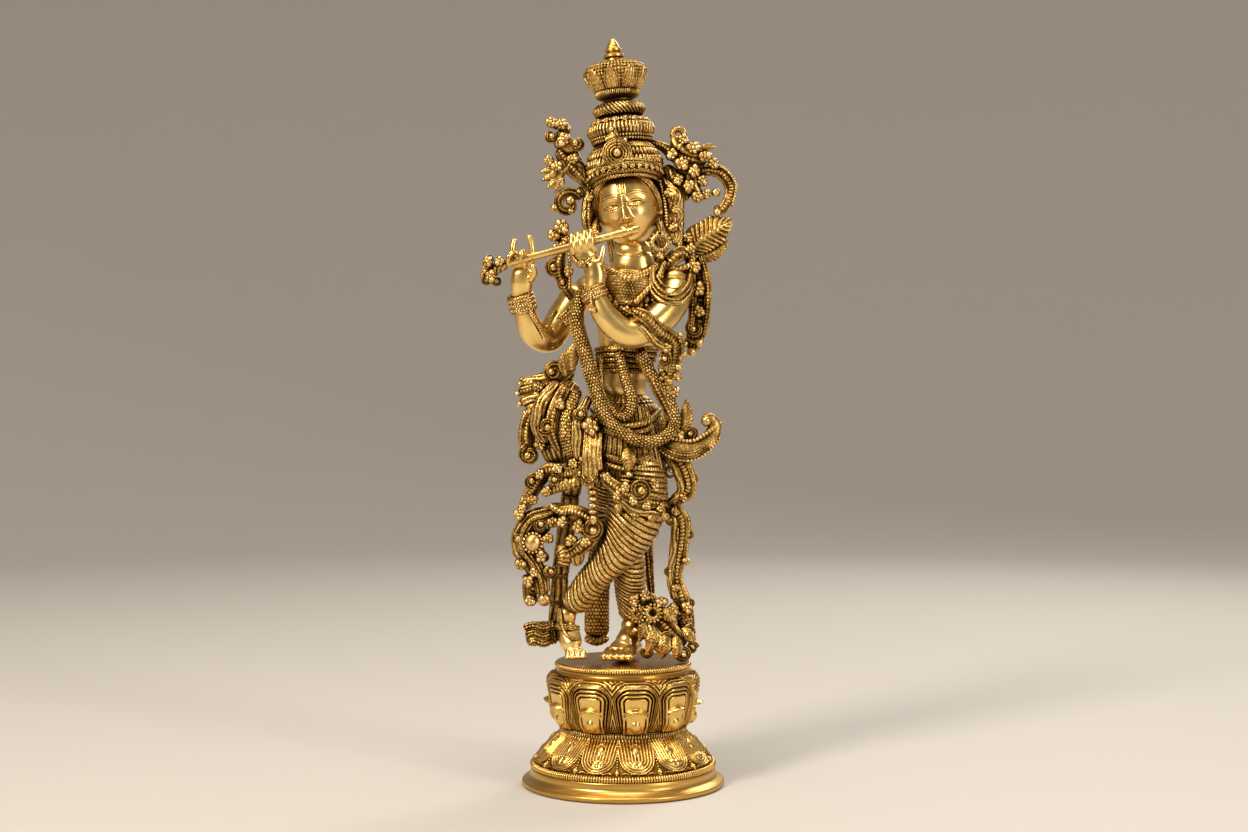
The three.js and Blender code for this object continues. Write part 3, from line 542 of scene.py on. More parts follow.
def antique_brass(name, ground, mid, bright, rough, stipple):
    """Cast brass with dark wax left in the ground and the high points rubbed bright, plus painted shade: the
    occlusion node pulls the colour towards the dark ground tone in crevices and between parts.
    """
    n = Nodes(name)
    relief = n.add("ShaderNodeAttribute", attribute_name="relief").outputs["Fac"]
    grains = n.add("ShaderNodeTexVoronoi", {"Scale": 1250.0, "Vector": n.position()}).outputs["Distance"]
    grain = n.remap(grains, 0.05, 0.6, 1.0, 0.0)
    granular = n.maths("MULTIPLY", relief, n.remap(grain, 0.0, 1.0, 1.0 - stipple, 1.0))
    worn = n.maths("ADD", granular, n.remap(n.noise(220, 4), 0.3, 0.7, -0.14, 0.12))
    # painted shade: the occlusion node darkens the colour in crevices and where neighbouring parts crowd in
    painted_shade_factor = n.remap(n.painted_crevice_shade(0.005), 0.25, 0.9, 0.0, 1.0)
    tone = n.maths("MULTIPLY", n.remap(worn, 0.05, 0.9, 0.0, 1.0), painted_shade_factor)
    # the ground colour serves both the wax patina in the chased ground and the painted shade in crevices
    half = [0.6 * g + 0.4 * m for g, m in zip(ground, mid)]
    colour = n.ramp(tone, [(0.05, ground), (0.26, half), (0.5, mid), (0.9, bright)])
    n.bump(
        n.maths("ADD", n.maths("MULTIPLY", grain, stipple), n.remap(n.noise(2600, 2), 0, 1, 0, 0.25)),
        0.5, 0.00022,
    )
    return n.finish(colour, n.remap(tone, 0.0, 1.0, rough + 0.25, rough))


def satin_brass(name, low, high, rough):
    """Smooth polished skin, dark in its engraved lines and with painted shade in its crevices and between
    parts, with faint handling marks.
    """
    n = Nodes(name)
    relief = n.add("ShaderNodeAttribute", attribute_name="relief").outputs["Fac"]
    cloud = n.noise(70, 4)
    # painted shade: the occlusion node darkens the colour in crevices and where neighbouring parts crowd in
    painted_shade_factor = n.remap(n.painted_crevice_shade(0.004), 0.05, 0.8, 0.15, 1.0)
    clean = n.maths("MULTIPLY", n.remap(relief, 0.1, 0.6, 0.0, 1.0), painted_shade_factor)
    tone = n.maths("MULTIPLY", n.remap(cloud, 0.3, 0.7, 0.72, 1.0), clean)
    # the darkest stop is reached in the engraved lines (patina) and in the painted crevice shade
    colour = n.ramp(tone, [(0.0, (0.07, 0.03, 0.006)), (0.45, low), (0.95, high)])
    n.bump(n.noise(900, 3), 0.12, 0.0002)
    return n.finish(colour, n.remap(cloud, 0.3, 0.7, rough, rough + 0.1))


def turned_brass(name, low, high, rough, ring_scale):
    """Lathe-turned metal: fine rings about the vertical axis, with painted shade in crevices and between
    parts.
    """
    n = Nodes(name)
    split = n.add("ShaderNodeSeparateXYZ", {"Vector": n.position()})
    x2 = n.maths("MULTIPLY", split.outputs["X"], split.outputs["X"])
    y2 = n.maths("MULTIPLY", split.outputs["Y"], split.outputs["Y"])
    radius = n.maths("SQRT", n.maths("ADD", x2, y2), 0.0)
    rings_at = n.add("ShaderNodeCombineXYZ", {"X": radius, "Y": split.outputs["Z"]}).outputs["Vector"]
    lines = n.noise(ring_scale, 5, rings_at)
    cloud = n.noise(45, 4)
    tone = n.maths("MULTIPLY", n.remap(lines, 0.3, 0.7, 0.75, 1.0), n.remap(cloud, 0.3, 0.7, 0.8, 1.0))
    # painted shade: the occlusion node darkens the colour in crevices and where neighbouring parts crowd in
    painted_shade_factor = n.remap(n.painted_crevice_shade(0.004), 0.1, 0.8, 0.1, 1.0)
    # the darkest stop is reached only through the painted crevice shade
    colour = n.ramp(
        n.maths("MULTIPLY", tone, painted_shade_factor), [(0.0, (0.1, 0.05, 0.01)), (0.45, low), (0.95, high)]
    )
    n.bump(lines, 0.25, 0.00015)
    return n.finish(colour, n.remap(cloud, 0.3, 0.7, rough, rough + 0.12))


def steel():
    n = Nodes("zinc_steel")
    return n.finish((0.55, 0.56, 0.58, 1), n.remap(n.noise(300, 3), 0.3, 0.7, 0.3, 0.5))


MATERIALS = {
    "antique": antique_brass(
        "antique_brass", (0.04, 0.015, 0.003), (0.6, 0.35, 0.085), (1.0, 0.81, 0.42), 0.25, 0.5
    ),
    "lotus": antique_brass(
        "lotus_brass", (0.045, 0.017, 0.003), (0.46, 0.235, 0.042), (0.86, 0.57, 0.17), 0.25, 0.12
    ),
    "skin": satin_brass("satin_brass", (0.5, 0.29, 0.06), (0.95, 0.67, 0.24), 0.24),
    "turned": turned_brass("turned_brass", (0.42, 0.22, 0.04), (0.78, 0.5, 0.14), 0.27, 2400),
    "deck": turned_brass("deck_brass", (0.33, 0.15, 0.02), (0.56, 0.32, 0.07), 0.2, 1800),
    "steel": steel(),
}


# ---- pedestal, in millimetres above the plinth's underside ---------------------------------------
def height_of(node):
    low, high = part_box(node)
    return low.z / MM, high.z / MM


def plinth():
    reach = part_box("plinth_plate")[1].x / MM
    _, top = height_of("plinth_plate")
    profile = [
        (0, 0.0), (reach - 0.5, 0.0), (reach, 0.5), (reach, 1.9), (reach - 0.35, 2.35), (reach - 1.3, 2.6),
        (reach - 2.8, 3.5), (reach - 3.3, 4.1), (reach - 3.5, 4.5), (reach - 3.6, 5.2), (reach - 3.5, 6.2),
        (reach - 3.7, top), (0, top),
    ]
    return [lathe(profile, sides=256, step=0.6)]


def beaded_moulding(count, reach, z, radius, depth=0.5):
    """A half-round moulding cut into upright beads."""
    section = np.linspace(-math.pi / 2, math.pi / 2, 9)
    profile = [(reach - 1.5, z - radius)]
    profile += [
        (reach - radius * 0.6 + radius * 0.8 * math.cos(k), z + radius * math.sin(k)) for k in section
    ]
    profile += [(reach - 1.5, z + radius)]

    def cuts(angle, share, z):
        return np.abs(np.sin(angle * count / 2)) ** 0.6

    return lathe(profile, cuts, depth, sides=count * 6, step=radius / 5)


def lower_petals(angle, share, z):
    """Hanging petals drawn as nested loops round a teardrop, and beaded spines between them."""
    count = 13
    u = wrap(angle / TURN * count + 0.5 + count * 80 / 360) * (11.5 + 6.5 * (1 - share))
    v = share * 17
    spine = (5.75 + 3.25 * (1 - share)) - np.abs(u)
    d = np.hypot(u, 1.1 * np.minimum(v - 7.2, 0))
    loops = np.abs(np.sin(np.pi * (d - 1.3) / 1.2)) ** 0.6
    body = np.where(d < 6.9, 0.4 + 0.55 * loops, 0.3)
    drop = 1.3 * dome(u / 5.0, (v - 11.6) / 8.5)
    inner = drop - 0.5 * bell(np.hypot(u / 0.8, (v - 11) / 1.4) - 2.0, 0.3)
    heart = 1.15 * dome((np.abs(u) - 1.2) / 3.4, (v - 5.2) / 4.8)
    foot = 0.85 * bell(v - 0.9 - 0.8 * np.abs(np.sin(u * 0.9)), 0.5) * (np.abs(u) < 7)
    beads = np.where(spine < 0.7, dome(spine / 1.4, wrap(v / 1.2)), 0)
    ball = 1.25 * dome(spine / 2.6, (v - 1.9) / 2.8)
    return np.maximum.reduce([body, inner, heart, foot, 0.95 * beads, ball])


def lower_lotus():
    low, top = height_of("lower_lotus")
    profile = [
        (30, low), (36.4, low), (36.9, low + 0.6), (36.3, low + 1.6), (35.6, low + 2.2), (34.2, low + 4.0),
        (31.6, low + 7.0), (28.6, low + 10.0), (25.4, low + 12.9), (24.6, top), (20, top),
    ]
    petals = lathe(profile[3:-1], lower_petals, 1.5, sides=1100, step=0.18)
    return [lathe(profile, sides=128, step=1.0), petals, beaded_moulding(216, 37.4, low + 0.9, 0.9)]


def waist_collar():
    low, top = height_of("waist_collar")
    middle = (low + top) / 2
    profile = [(20, low), (24.4, low), (24.8, middle), (24.4, top), (20, top)]
    return [
        lathe(profile, sides=128, step=0.5),
        beaded_moulding(144, 25.4, middle - 0.1, 1.0),
        lathe(
            [(22, top - 0.5), (25.3, top - 0.5), (25.5, top), (25.1, top + 0.4), (22, top + 0.4)],
            sides=128, step=0.3,
        ),
    ]


def box_distance(u, v, middle, half_width, half_height, corner):
    """Signed distance to a rounded rectangle, negative inside."""
    du = np.abs(u) - half_width + corner
    dv = np.abs(v - middle) - half_height + corner
    return np.hypot(np.maximum(du, 0), np.maximum(dv, 0)) + np.minimum(np.maximum(du, dv), 0) - corner


def upper_petals(angle, share, z):
    """Broad-shouldered petals with incised borders and a small curled petal in front of each."""
    count = 10
    u = np.abs(wrap(angle / TURN * count + 0.5 + count * 80 / 360)) * 17.6
    v = share * 20
    shoulder = 6.3 + 2.2 * np.clip(v / 13, 0, 1) ** 0.8
    petal = box_distance(u * 8.5 / shoulder, v, 6.2, 8.5, 12.2, 6.0)
    grooves = bell(petal + 1.1, 0.3) + bell(petal + 2.3, 0.3) + 0.9 * bell(petal + 3.9, 0.26)
    bulge = 0.45 * np.clip(1 - (u / 7.5) ** 2, 0, 1)
    body = np.where(petal < 0, 0.4 + bulge + 0.2 * np.clip(-petal / 0.5, 0, 1) - 0.55 * grooves, 0.1)
    flutes = np.where(petal > 0, 0.3 + 0.5 * np.abs(np.cos(np.pi * petal / 1.1)) ** 0.7, 0)
    small = box_distance(u, v, 2.6, 4.8, 7.0, 4.6)
    little = np.where(small < 0, 1.1 - 0.7 * bell(small + 1.0, 0.28) - 0.6 * bell(small + 2.1, 0.24), 0)
    boss = (small < 0) * (0.6 + 1.1 * dome(u / 4.4, (v - 3.0) / 5.4))
    arch = np.sqrt(np.clip(1 - (u / 5.2) ** 2, 0, 1))
    lip = 2.3 * arch * bell(v - 9.6 + 0.08 * u**2, 0.9)
    under = 0.8 * bell(v - 7.3 + 0.08 * u**2, 0.4) * (u < 3.6)
    return np.maximum.reduce([body, flutes, little - under, boss - under, lip])


def upper_lotus():
    low, top = height_of("upper_lotus")
    rise = top - low
    profile = [
        (20, low), (24.2, low), (25.2, low + 1.2), (27.2, low + 0.2 * rise), (28.3, low + 0.42 * rise),
        (29.0, low + 0.66 * rise), (29.7, low + 0.86 * rise), (29.6, low + 0.93 * rise),
        (28.6, low + rise), (24, top),
    ]
    return [
        lathe(profile, sides=128, step=1.0),
        lathe(profile[2:-1], upper_petals, 2.0, sides=1100, step=0.18),
    ]


def deck():
    low, top = height_of("deck_plate")
    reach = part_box("deck_plate")[1].x / MM
    profile = [
        (24, low), (reach - 0.5, low), (reach - 0.5, low + 1.6), (reach - 0.7, low + 1.9),
        (reach - 0.7, top - 2.2), (reach - 0.4, top - 1.9), (reach - 0.4, top - 0.4), (reach - 0.8, top),
        (0, top),
    ]
    return [lathe(profile, None, 0, sides=256, step=0.4)]


# ---- head ---------------------------------------------------------------------------------------
HEAD = np.array([2.0, 0.5, 184.5])
HEAD_LEAN = -10


def face_shape(x, z):
    """A calm, evenly proportioned face: its height over the skull in mm, and its engraved lines."""
    ax = np.abs(x)
    u = (ax - 5.0) / 3.5
    open_ = np.clip(1 - u**2, 0, 1)
    tilt = 0.3 * np.clip(u, 0, 1)
    upper, lower = 0.2 + 1.35 * open_ + tilt, 0.2 - 1.0 * open_ + tilt
    on_eye = np.abs(u) < 1
    inside = on_eye & (z < upper) & (z > lower)
    brow_line = 3.7 + 1.5 * (1 - ((ax - 5.2) / 4.8) ** 2)
    on_brow = (ax > 1.1) & (ax < 9.8)
    brow = 0.55 * bell(z - brow_line, 0.55) * on_brow
    socket = -1.1 * bell(np.hypot((ax - 4.6) / 3.8, (z - 1.6) / 2.4), 1.0)
    eyeball = 0.95 * bell(np.hypot((ax - 5.0) / 3.4, z / 1.7), 1.0)
    lid = 0.45 * bell(z - upper - 0.45, 0.42) * on_eye + 0.3 * bell(z - lower + 0.4, 0.35) * on_eye
    down = np.clip((4.2 - z) / 9.8, 0, 1)
    under = 1 / (1 + np.exp(-(z + 6.3) / 0.3))
    nose = (0.9 + 3.2 * down**1.2) * bell(x, 1.15 + 0.75 * down) * under * np.clip((5.4 - z) / 1.6, 0, 1)
    wings = 1.5 * bell(np.hypot((ax - 1.95) / 1.0, (z + 5.5) / 0.95), 1.0)
    mouth_line = -9.9 + 0.06 * x**2
    upper_lip = 1.15 * bell(z - mouth_line - 0.85, 0.75) * bell(x, 3.0) * (1 - 0.25 * bell(x, 0.6))
    lower_lip = 1.3 * bell(z - mouth_line + 1.0, 0.8) * bell(x, 2.5)
    chin = 1.7 * bell(np.hypot(x / 3.4, (z + 13.9) / 2.2), 1.0)
    cheeks = 0.9 * bell(np.hypot((ax - 6.2) / 4.2, (z + 4.4) / 3.8), 1.0)
    groove = -0.35 * bell(x, 0.5) * bell(z + 7.6, 0.8)
    bar = bell(ax - 1.0, 0.3) * (z > 5.4) * (z < 12)
    foot = bell(np.hypot(x, np.minimum(z - 5.6, 0)) - 1.0, 0.3) * (z < 5.6) * (z > 3.8)
    mark = 0.35 * np.maximum(bar, foot)
    outline = np.minimum(np.abs(z - upper), np.abs(z - lower)) * np.where(on_eye, 1, 9)
    iris = np.abs(np.hypot(ax - 5.0, z - 0.35) - 0.95) + np.where(inside, 0, 9)
    pupil = np.hypot(ax - 5.0, z - 0.35) + np.where(inside, 0, 9)
    lines = np.maximum.reduce([
        bell(outline, 0.2), 0.8 * bell(iris, 0.14), bell(pupil, 0.34),
        0.8 * bell(z - upper - 1.05, 0.16) * on_eye * (np.abs(u) < 0.9),
        0.75 * bell(np.abs(z - brow_line) - 0.55, 0.16) * on_brow,
        0.95 * bell(z - mouth_line, 0.2) * (np.abs(x) < 3.4),
        0.9 * bell(np.hypot(ax - 1.0, z + 6.7), 0.4),
        0.6 * bell(np.abs(ax - 1.0) - 0.5, 0.16) * (z > 5) * (z < 12),
    ])
    forms = [brow, socket, eyeball, lid, nose, wings, upper_lip, lower_lip, chin, cheeks, groove, mark]
    return np.sum(forms, axis=0) - 0.3 * lines, lines


def head():
    rows, sides = 330, 560
    t = np.linspace(0, 1, rows + 2)[1:-1]
    polar = math.pi * (t + 0.07 * np.sin(TURN * t))
    s = np.arange(sides) / sides
    a = TURN * s + 0.55 * np.sin(TURN * s)
    around, down = np.meshgrid(a - math.pi / 2 - math.pi, polar)
    fullness = np.sin(down) ** np.where(down < math.pi / 2, 0.72, 1.0)
    x = 12.9 * fullness * np.cos(around)
    y = 13.4 * fullness * np.sin(around)
    z = np.where(down < math.pi / 2, 17.0, 15.9) * np.cos(down)
    jaw = np.clip((-3 - z) / 12.5, 0, 1)
    x = x * (1 - 0.22 * jaw**1.3)
    shape, lines = face_shape(x, z)
    front = np.clip((-y / 13.4 - 0.12) / 0.4, 0, 1)
    front = front * front * (3 - 2 * front)
    y = y - shape * front
    relief = 0.85 - 0.8 * lines * front
    poles = np.array([[0, 0, 17.0]]), np.array([[0, 0, -15.9]])
    skull = skin_of_rings(np.stack([x, y, z], -1), relief, *poles)
    made = tilted(tilted(skull, HEAD_LEAN, (0, 0, 0)), -8, (0, 0, 0), "z")
    ears = []
    for k in (-1, 1):
        rim = [
            on_head(k * 12.6, 0.2, 3),
            on_head(k * 13.9, 0.6, 1.6),
            on_head(k * 13.6, -0.2, -2.4),
            on_head(k * 12.8, -1, -4.6),
        ]
        ears.append(tube(rim, [0.9, 1.3, 1.1, 1.3], sides=18))
    throat = [(6.5, 4.6, 152), (5.6, 3.8, 157.5), (4.6, 2.9, 162), (4, 2.3, 167), (3.4, 1.5, 174)]
    neck = tube(throat, [16.5, 12, 8.8, 7.7, 7.6], flat=0.82, sides=80)
    crease = tube([(-2.6, -2.6, 166.6), (4.1, -5.0, 165.2), (10.8, -2.2, 166.8)], 0.2, sides=10)
    return [moved(made, HEAD), neck, *ears, crease]


def on_head(x, y, z):
    """A point given in the head's own upright frame, leaned with it."""
    made = part([[x, y, z]], [[0, 0, 0, -1]], 0)
    return tilted(tilted(made, HEAD_LEAN, (0, 0, 0)), -8, (0, 0, 0), "z")[0][0] + HEAD


def deck_rim():
    """The milled edge just under the top of the deck."""
    top = height_of("deck_plate")[1]
    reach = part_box("deck_plate")[1].x / MM
    return [beaded_moulding(170, reach - 0.4, top - 1.2, 0.6, 0.4)]


def hair():
    lock = [(2, 6, 199), (4, 12.5, 184), (6, 14.5, 166), (6, 13.5, 150), (5.5, 13, 143)]
    half_brow = [(13.2, 1.4, -7), (13.0, -1.8, 2.6), (9.4, -5.8, 10.2), (4.8, -7.4, 13.6)]
    brow = [on_head(-x, y, z) for x, y, z in half_brow]
    brow.append(on_head(0, -8.0, 14.8))
    brow += [on_head(x, y, z) for x, y, z in reversed(half_brow)]
    ringlets = [
        tube(
            [(x, 13, 160), (x + 1.5, 14.5, 151), (x - 0.5, 14, 143), (x + 1, 13.5, 136)],
            [2.6, 2.4, 2, 1], rope(3, 2), 0.6,
        )
        for x in (-1, 3.5, 8, 12)
    ]
    return [
        tube(lock, [11.0, 12.6, 11.8, 9.5, 3], strands(30), 0.8, 0.5, sides=150),
        tube(brow, [1.0, 1.5, 1.9, 2.0, 2.0, 2.0, 1.9, 1.5, 1.0], strands(12, 0.1), 0.35, 1.0, sides=60),
        *ringlets,
    ]


def side_lock_left():
    locks = [
        tube(
            [(14.5, 2, 198), (17.5 + k, 1 - k, 190), (18.5 + k, 0, 181), (20 + k * 0.7, -1, 172 - k)],
            [1.8, 2.6, 2.6, 1.4], strands(8, 0.5, 9), 0.45, 0.9,
        )
        for k in (0, 2.2, 4.2)
    ]
    beads_ = [chain([(15, -2, 196), (17, -3, 188), (18, -3.5, 178)], 0.75)]
    flowers = [
        flower((18.5, -3, 191), 2.4), flower((21.5, -2.4, 184.5), 2.2), flower((20.5, -3, 177), 2.5, 6)
    ]
    return locks + beads_ + flowers


def side_lock_right():
    locks = [
        tube(
            [(-11 - k, 2, 196), (-13.2 - k, 1, 188), (-13.6 - k, 0, 180), (-12.6 - k, -1, 173.5)],
            [1.4, 1.8, 1.7, 1.0], strands(8, 0.5, 8), 0.4,
        )
        for k in (0, 1.8)
    ]
    return locks + [
        chain([(-12.5, -2.5, 192), (-14, -3, 185), (-13.4, -3.4, 176)], 0.65),
        flower((-13.6, -3, 189), 1.9),
    ]


def earring_left():
    eye = (15, -6.2, 170.4)
    return [
        tube([(13.6, -0.5, 180), (14.6, -3.2, 176.5), (15, -5.5, 174)], 0.9, rope(1.1), 0.25, sides=16),
        tube(spiral(eye, 3.2, 3.2, 1.0, 90, 16), 1.1, rope(1.2), 0.3, sides=18),
        ring_front(eye, 4.3, 14, 0.6),
        flower((15, -6.8, 165), 1.9),
    ]


def ring_front(centre, reach, count, radius):
    """A circle of beads that faces forwards."""
    a = TURN * np.arange(count) / count
    x, y, z = centre
    return balls(np.stack([x + reach * np.cos(a), np.full(count, y), z + reach * np.sin(a)], -1), radius)


def earring_right():
    return [
        tube([(-10.3, -1, 181), (-11.6, -5, 177), (-11.6, -7, 172)], [1.0, 1.3, 1.6], rope(1.3), 0.3),
        flower((-11.5, -8, 174), 2.2),
        balls([(-11.6, -7.6, 170.6)], 1.2, shape=PEARL),
    ]


# ---- crown --------------------------------------------------------------------------------------
def crown_lean(parts):
    return [tilted(p, -5.4, (1.5, 1, 197)) for p in parts]


def around_head(reach, z, drop):
    """A closed band round the brow: reach sideways, dropping by drop towards the back."""
    a = np.linspace(0, TURN, 37)[:-1]
    return np.stack([1 + reach * np.cos(a), 0.4 + reach * 1.06 * np.sin(a), z - drop * np.sin(a)], -1)


def closed_chain(points, radius):
    ring_ = np.vstack([points, points[:1]])
    return chain(ring_, radius)


def crown_band():
    """The diadem: ropes and beads that rise over the brow and drop towards the back."""
    made = []
    rows = (
        (13.3, 194.6, 0.8, rope(1.4, 3)),
        (13.9, 196.4, 1.25, pinecone(1.2)),
        (14.3, 198.6, 1.25, pinecone(1.2)),
        (14.3, 200.4, 0.8, rope(1.4, 3)),
    )
    for reach, z, radius, relief in rows:
        ring_ = around_head(reach, z, 2.6)
        made.append(
            tube(np.vstack([ring_, ring_[:1]]), radius, relief, 0.35, thin=(0, 0, 1), sides=24, step=0.3)
        )
    for k in range(-7, 8):
        angle = -math.pi / 2 + k * 0.2
        x, y = 1 + 15.2 * math.cos(angle), 0.4 + 15.8 * math.sin(angle)
        made.append(
            flower(
                (x, y, 197.6 - 2.6 * math.sin(angle)), 1.25, 5, (math.cos(angle), math.sin(angle), 0.1)
            )
        )
    return [tilted(p, -6, (1, 0, 197)) for p in made]


def crown_dome():
    """The cap of the crown in beaded tiers, each a little smaller than the last."""

    def tiers(angle, share, z):
        row = share * 11
        beads_ = dome(wrap(row) * 0.95, wrap(angle / TURN * (64 - 2 * np.floor(row))))
        cord = np.abs(np.sin(angle * 40 + share * 60)) ** 0.7
        return np.where(np.floor(row) % 3 == 1, cord, beads_)

    profile = [
        (0, 197.5), (13.6, 198), (15.0, 200.5), (15.2, 202.6), (14.6, 205.4), (13.2, 208.2),
        (10.8, 210.6), (9.4, 211.3), (0, 211.4),
    ]
    made = [lathe(profile, tiers, 0.9, (1, 1), 620, 0.2)]
    for k in range(-4, 5):
        if abs(k) > 1:
            angle = -math.pi / 2 + k * 0.4
            out = (math.cos(angle), math.sin(angle), 0)
            made.append(flower((1 + 14.8 * out[0], 1 + 14.8 * out[1], 203.4), 1.9, 5, out))
    return crown_lean(made)


def crown_medallion():
    x, y, z = -2.4, -15.4, 205.6
    made = [balls([(x, y - 0.8, z)], 1.7, shape=PEARL)]
    for reach, radius, relief in (
        (2.5, 0.55, smooth_relief),
        (3.7, 0.6, rope(1.1)),
        (4.8, 0.55, smooth_relief),
        (5.7, 0.5, rope(1.1)),
    ):
        ring_ = spiral((x, y + 0.16 * reach, z), reach, reach, 1.0, 90, 24)
        made.append(tube(ring_, radius, relief, 0.2, sides=14, step=0.25))
    made.append(tube([(x, y + 1.6, z), (x, y + 0.9, z)], 5.4, smooth_relief, sides=40))
    made += [
        leaf((-3.4, -14.2, 209.6), (-4.8, -12.2, 215.6), 2.4, (0, -0.8, 0)),
        balls([(-4.8, -12.6, 215.4), (-6.4, -13.4, 211.4), (0.8, -13.4, 211)], [1.3, 1.0, 1.0], shape=PEARL),
        tube([(-3.6, -13.6, 215), (-1.2, -14.2, 211.6), (0.4, -14, 209.4)], 1.1, scarf(1.1), 0.3, sides=16),
    ]
    return made


def crown_spire():
    """Swelling rings over the dome: a fluted one, a twisted one and the foot of the cup."""

    def carving(angle, share, z):
        flutes = np.abs(np.sin(angle * 26)) ** 0.6
        twist = np.abs(np.sin(angle * 19 + z * 2.0)) ** 0.6
        fine_beads = dome(wrap(z / 1.3), wrap(angle / TURN * 60))
        cord = np.abs(np.sin(angle * 36)) ** 0.6
        return np.select(
            [z < 214.6, z < 218.9, z < 222.4, z < 228.7, z < 231],
            [fine_beads, flutes, fine_beads, twist, 0.8], cord,
        )

    profile = [
        (0, 211.4), (9.8, 211.4), (11.8, 212.6), (12.2, 213.8), (11.8, 214.6), (13.0, 215.6),
        (13.3, 217.0), (12.8, 218.6), (11.4, 219.0), (11.2, 220.4), (9.4, 221.4), (6.4, 222.2),
        (6.2, 222.9), (9.2, 223.7), (10.4, 225.4), (9.2, 227.2), (6.2, 228.2), (5.0, 229.2), (5.0, 230.2),
        (6.8, 230.9), (8.6, 231.9), (8.4, 232.8), (7.2, 233.3), (0, 233.4),
    ]
    made = [lathe(profile, carving, 0.75, (1, 1), 640, 0.2)]
    for k in range(18):
        angle = TURN * k / 18
        made.append(
            flower(
                (1 + 11.2 * math.cos(angle), 1 + 11.2 * math.sin(angle), 220.2), 1.5, 5,
                (math.cos(angle), math.sin(angle), 0.4),
            )
        )
    return crown_lean(made)


def crown_cup():
    """A bowl hugged by pointed petals, with a beaded dome closing its top."""
    low, tip = 233.4, 241.6

    def cup_petals(angle, share, z):
        u = np.abs(wrap(angle / TURN * 9)) * 8.2
        v = z - low
        inside = 3.9 * np.sqrt(np.clip(1 - (np.clip(v, 0, tip - low) / (tip - low)) ** 2, 0, 1)) - u
        ribs = np.abs(np.sin(np.pi * (u / 1.3 + 0.5))) ** 0.7
        body = np.where((inside > 0) & (v < tip - low), 0.7 + 0.25 * ribs * (inside > 1.1), 0.1)
        rim = 1.2 * bell(inside - 0.45, 0.4)
        beads_ = 0.3 + 0.5 * dome(wrap(z / 1.2), wrap(angle / TURN * 54)) * (v > 2)
        return np.maximum.reduce([body, rim * (v < tip - low), np.where(inside < 0, beads_, 0)])

    profile = [
        (0, 233.2), (6.6, 233.2), (8.6, 234.6), (10.6, 236.8), (11.9, 239.4), (12.2, 241.2),
        (11.4, 242.8), (9.4, 243.9), (6.0, 244.5), (0, 244.7),
    ]
    made = [lathe(profile, cup_petals, 1.1, (1, 1), 620, 0.2)]
    made.append(moved(beaded_moulding(60, 7.9, 0, 0.6, 0.3), (1, 1, 233.3)))
    return crown_lean(made)


def crown_finial():
    profile = [
        (0, 244.6), (3.8, 244.6), (3.4, 246), (3.2, 246.8), (4.2, 247.4), (4.2, 248.4), (3.3, 249),
        (2.6, 249.4), (3.4, 250), (3.4, 250.9), (2.7, 251.3), (2.5, 252.2), (1.8, 253.6), (0.8, 255),
        (0, 255.2),
    ]
    return crown_lean([lathe(profile, None, 0, (1, 1), 96, 0.2)])


# ---- body, arms and legs ------------------------------------------------------------------------
def torso():
    trunk = [(-1, 3, 104), (0, 3, 116), (1.4, 3, 126), (3, 3, 142), (4, 3, 154), (4.5, 3, 163)]
    return [
        tube(trunk, [11, 9.8, 11.2, 14.8, 13.6, 6.5], flat=0.72, sides=64),
        balls([(19.5, 2.4, 153), (-13.5, 3.4, 151)], 7.4, shape=PEARL),
        balls([(9, -4, 144), (-4, -4, 143)], 5.6, (1, 0.6, 0.9), PEARL),
        balls([(13, -2.6, 148)], 7.6, (1, 0.8, 1.2), PEARL),
        tube([(4, 2.4, 154), (4.2, 1.6, 164), (3.6, 1.4, 170)], [12.5, 8.6, 7.4], flat=0.8, sides=48),
    ]


def bodice():
    """The jewelled bands round the ribs, above the bare waist."""
    made = []
    for z, wide in ((118.5, 10.8), (120.6, 11.2), (122.8, 11.5), (125, 11.9), (127.2, 12.4)):
        a = np.linspace(0, TURN, 33)[:-1]
        centre = 0.2 + (z - 116) * 0.12
        path = np.stack([centre + wide * np.cos(a), 3 + wide * 0.77 * np.sin(a), np.full(32, z)], -1)
        made.append(tube(np.vstack([path, path[:1]]), 1.25, pinecone(1.3), 0.4, sides=16))
    return made


def skirt():
    """The wrapped hips: pleats that fan down from the waist under jewelled swags."""
    path = [(0.6, 3, 111), (1, 3, 100), (1, 3, 86), (0, 2, 68)]
    made = [tube(path, [10.8, 14.6, 17.2, 16.4], folds(40), 1.0, 0.8, sides=340, step=0.3)]
    for k in range(-5, 6):
        x = 1.5 + 1.5 * k
        bow = 0.035 * k * k
        fold = [
            (x, -9.4 + bow, 104), (x + 0.55 * k, -11.6 + 2 * bow, 92), (x + 1.1 * k, -12 + 6 * bow, 79),
            (x + 1.3 * k, -10.8 + 8 * bow, 71),
        ]
        made.append(
            tube(
                fold, [1.0, 1.5, 1.8, 1.5], strands(6, 0.1) if k % 2 else scarf(1.4), 0.45, 0.8, sides=30
            )
        )
    for z, wide, radius, relief in (
        (98, 14.2, 1.5, rope(1.6, 3)),
        (94.6, 15, 1.7, pinecone(1.3)),
        (84, 16.4, 1.6, scarf(1.4)),
        (80.8, 16.8, 1.3, rope(1.5, 3)),
    ):
        swag = [
            (1 - wide, -2.5, z + 5), (-7, -11.4, z), (2, -13.6, z - 2), (10, -11, z),
            (1 + wide, -1.8, z + 5),
        ]
        made.append(
            tube(swag, [radius * 0.8, radius, radius, radius, radius * 0.8], relief, 0.5, 0.8, sides=30)
        )
    made.append(flower((2, -14.4, 92.6), 3.2, 7))
    made.append(leaf((2, -14.6, 88), (2.4, -16, 77.4), 3.2, (0, -1, 0)))
    made.append(balls([(2.4, -16, 76.4)], 1.6, shape=PEARL))
    return made


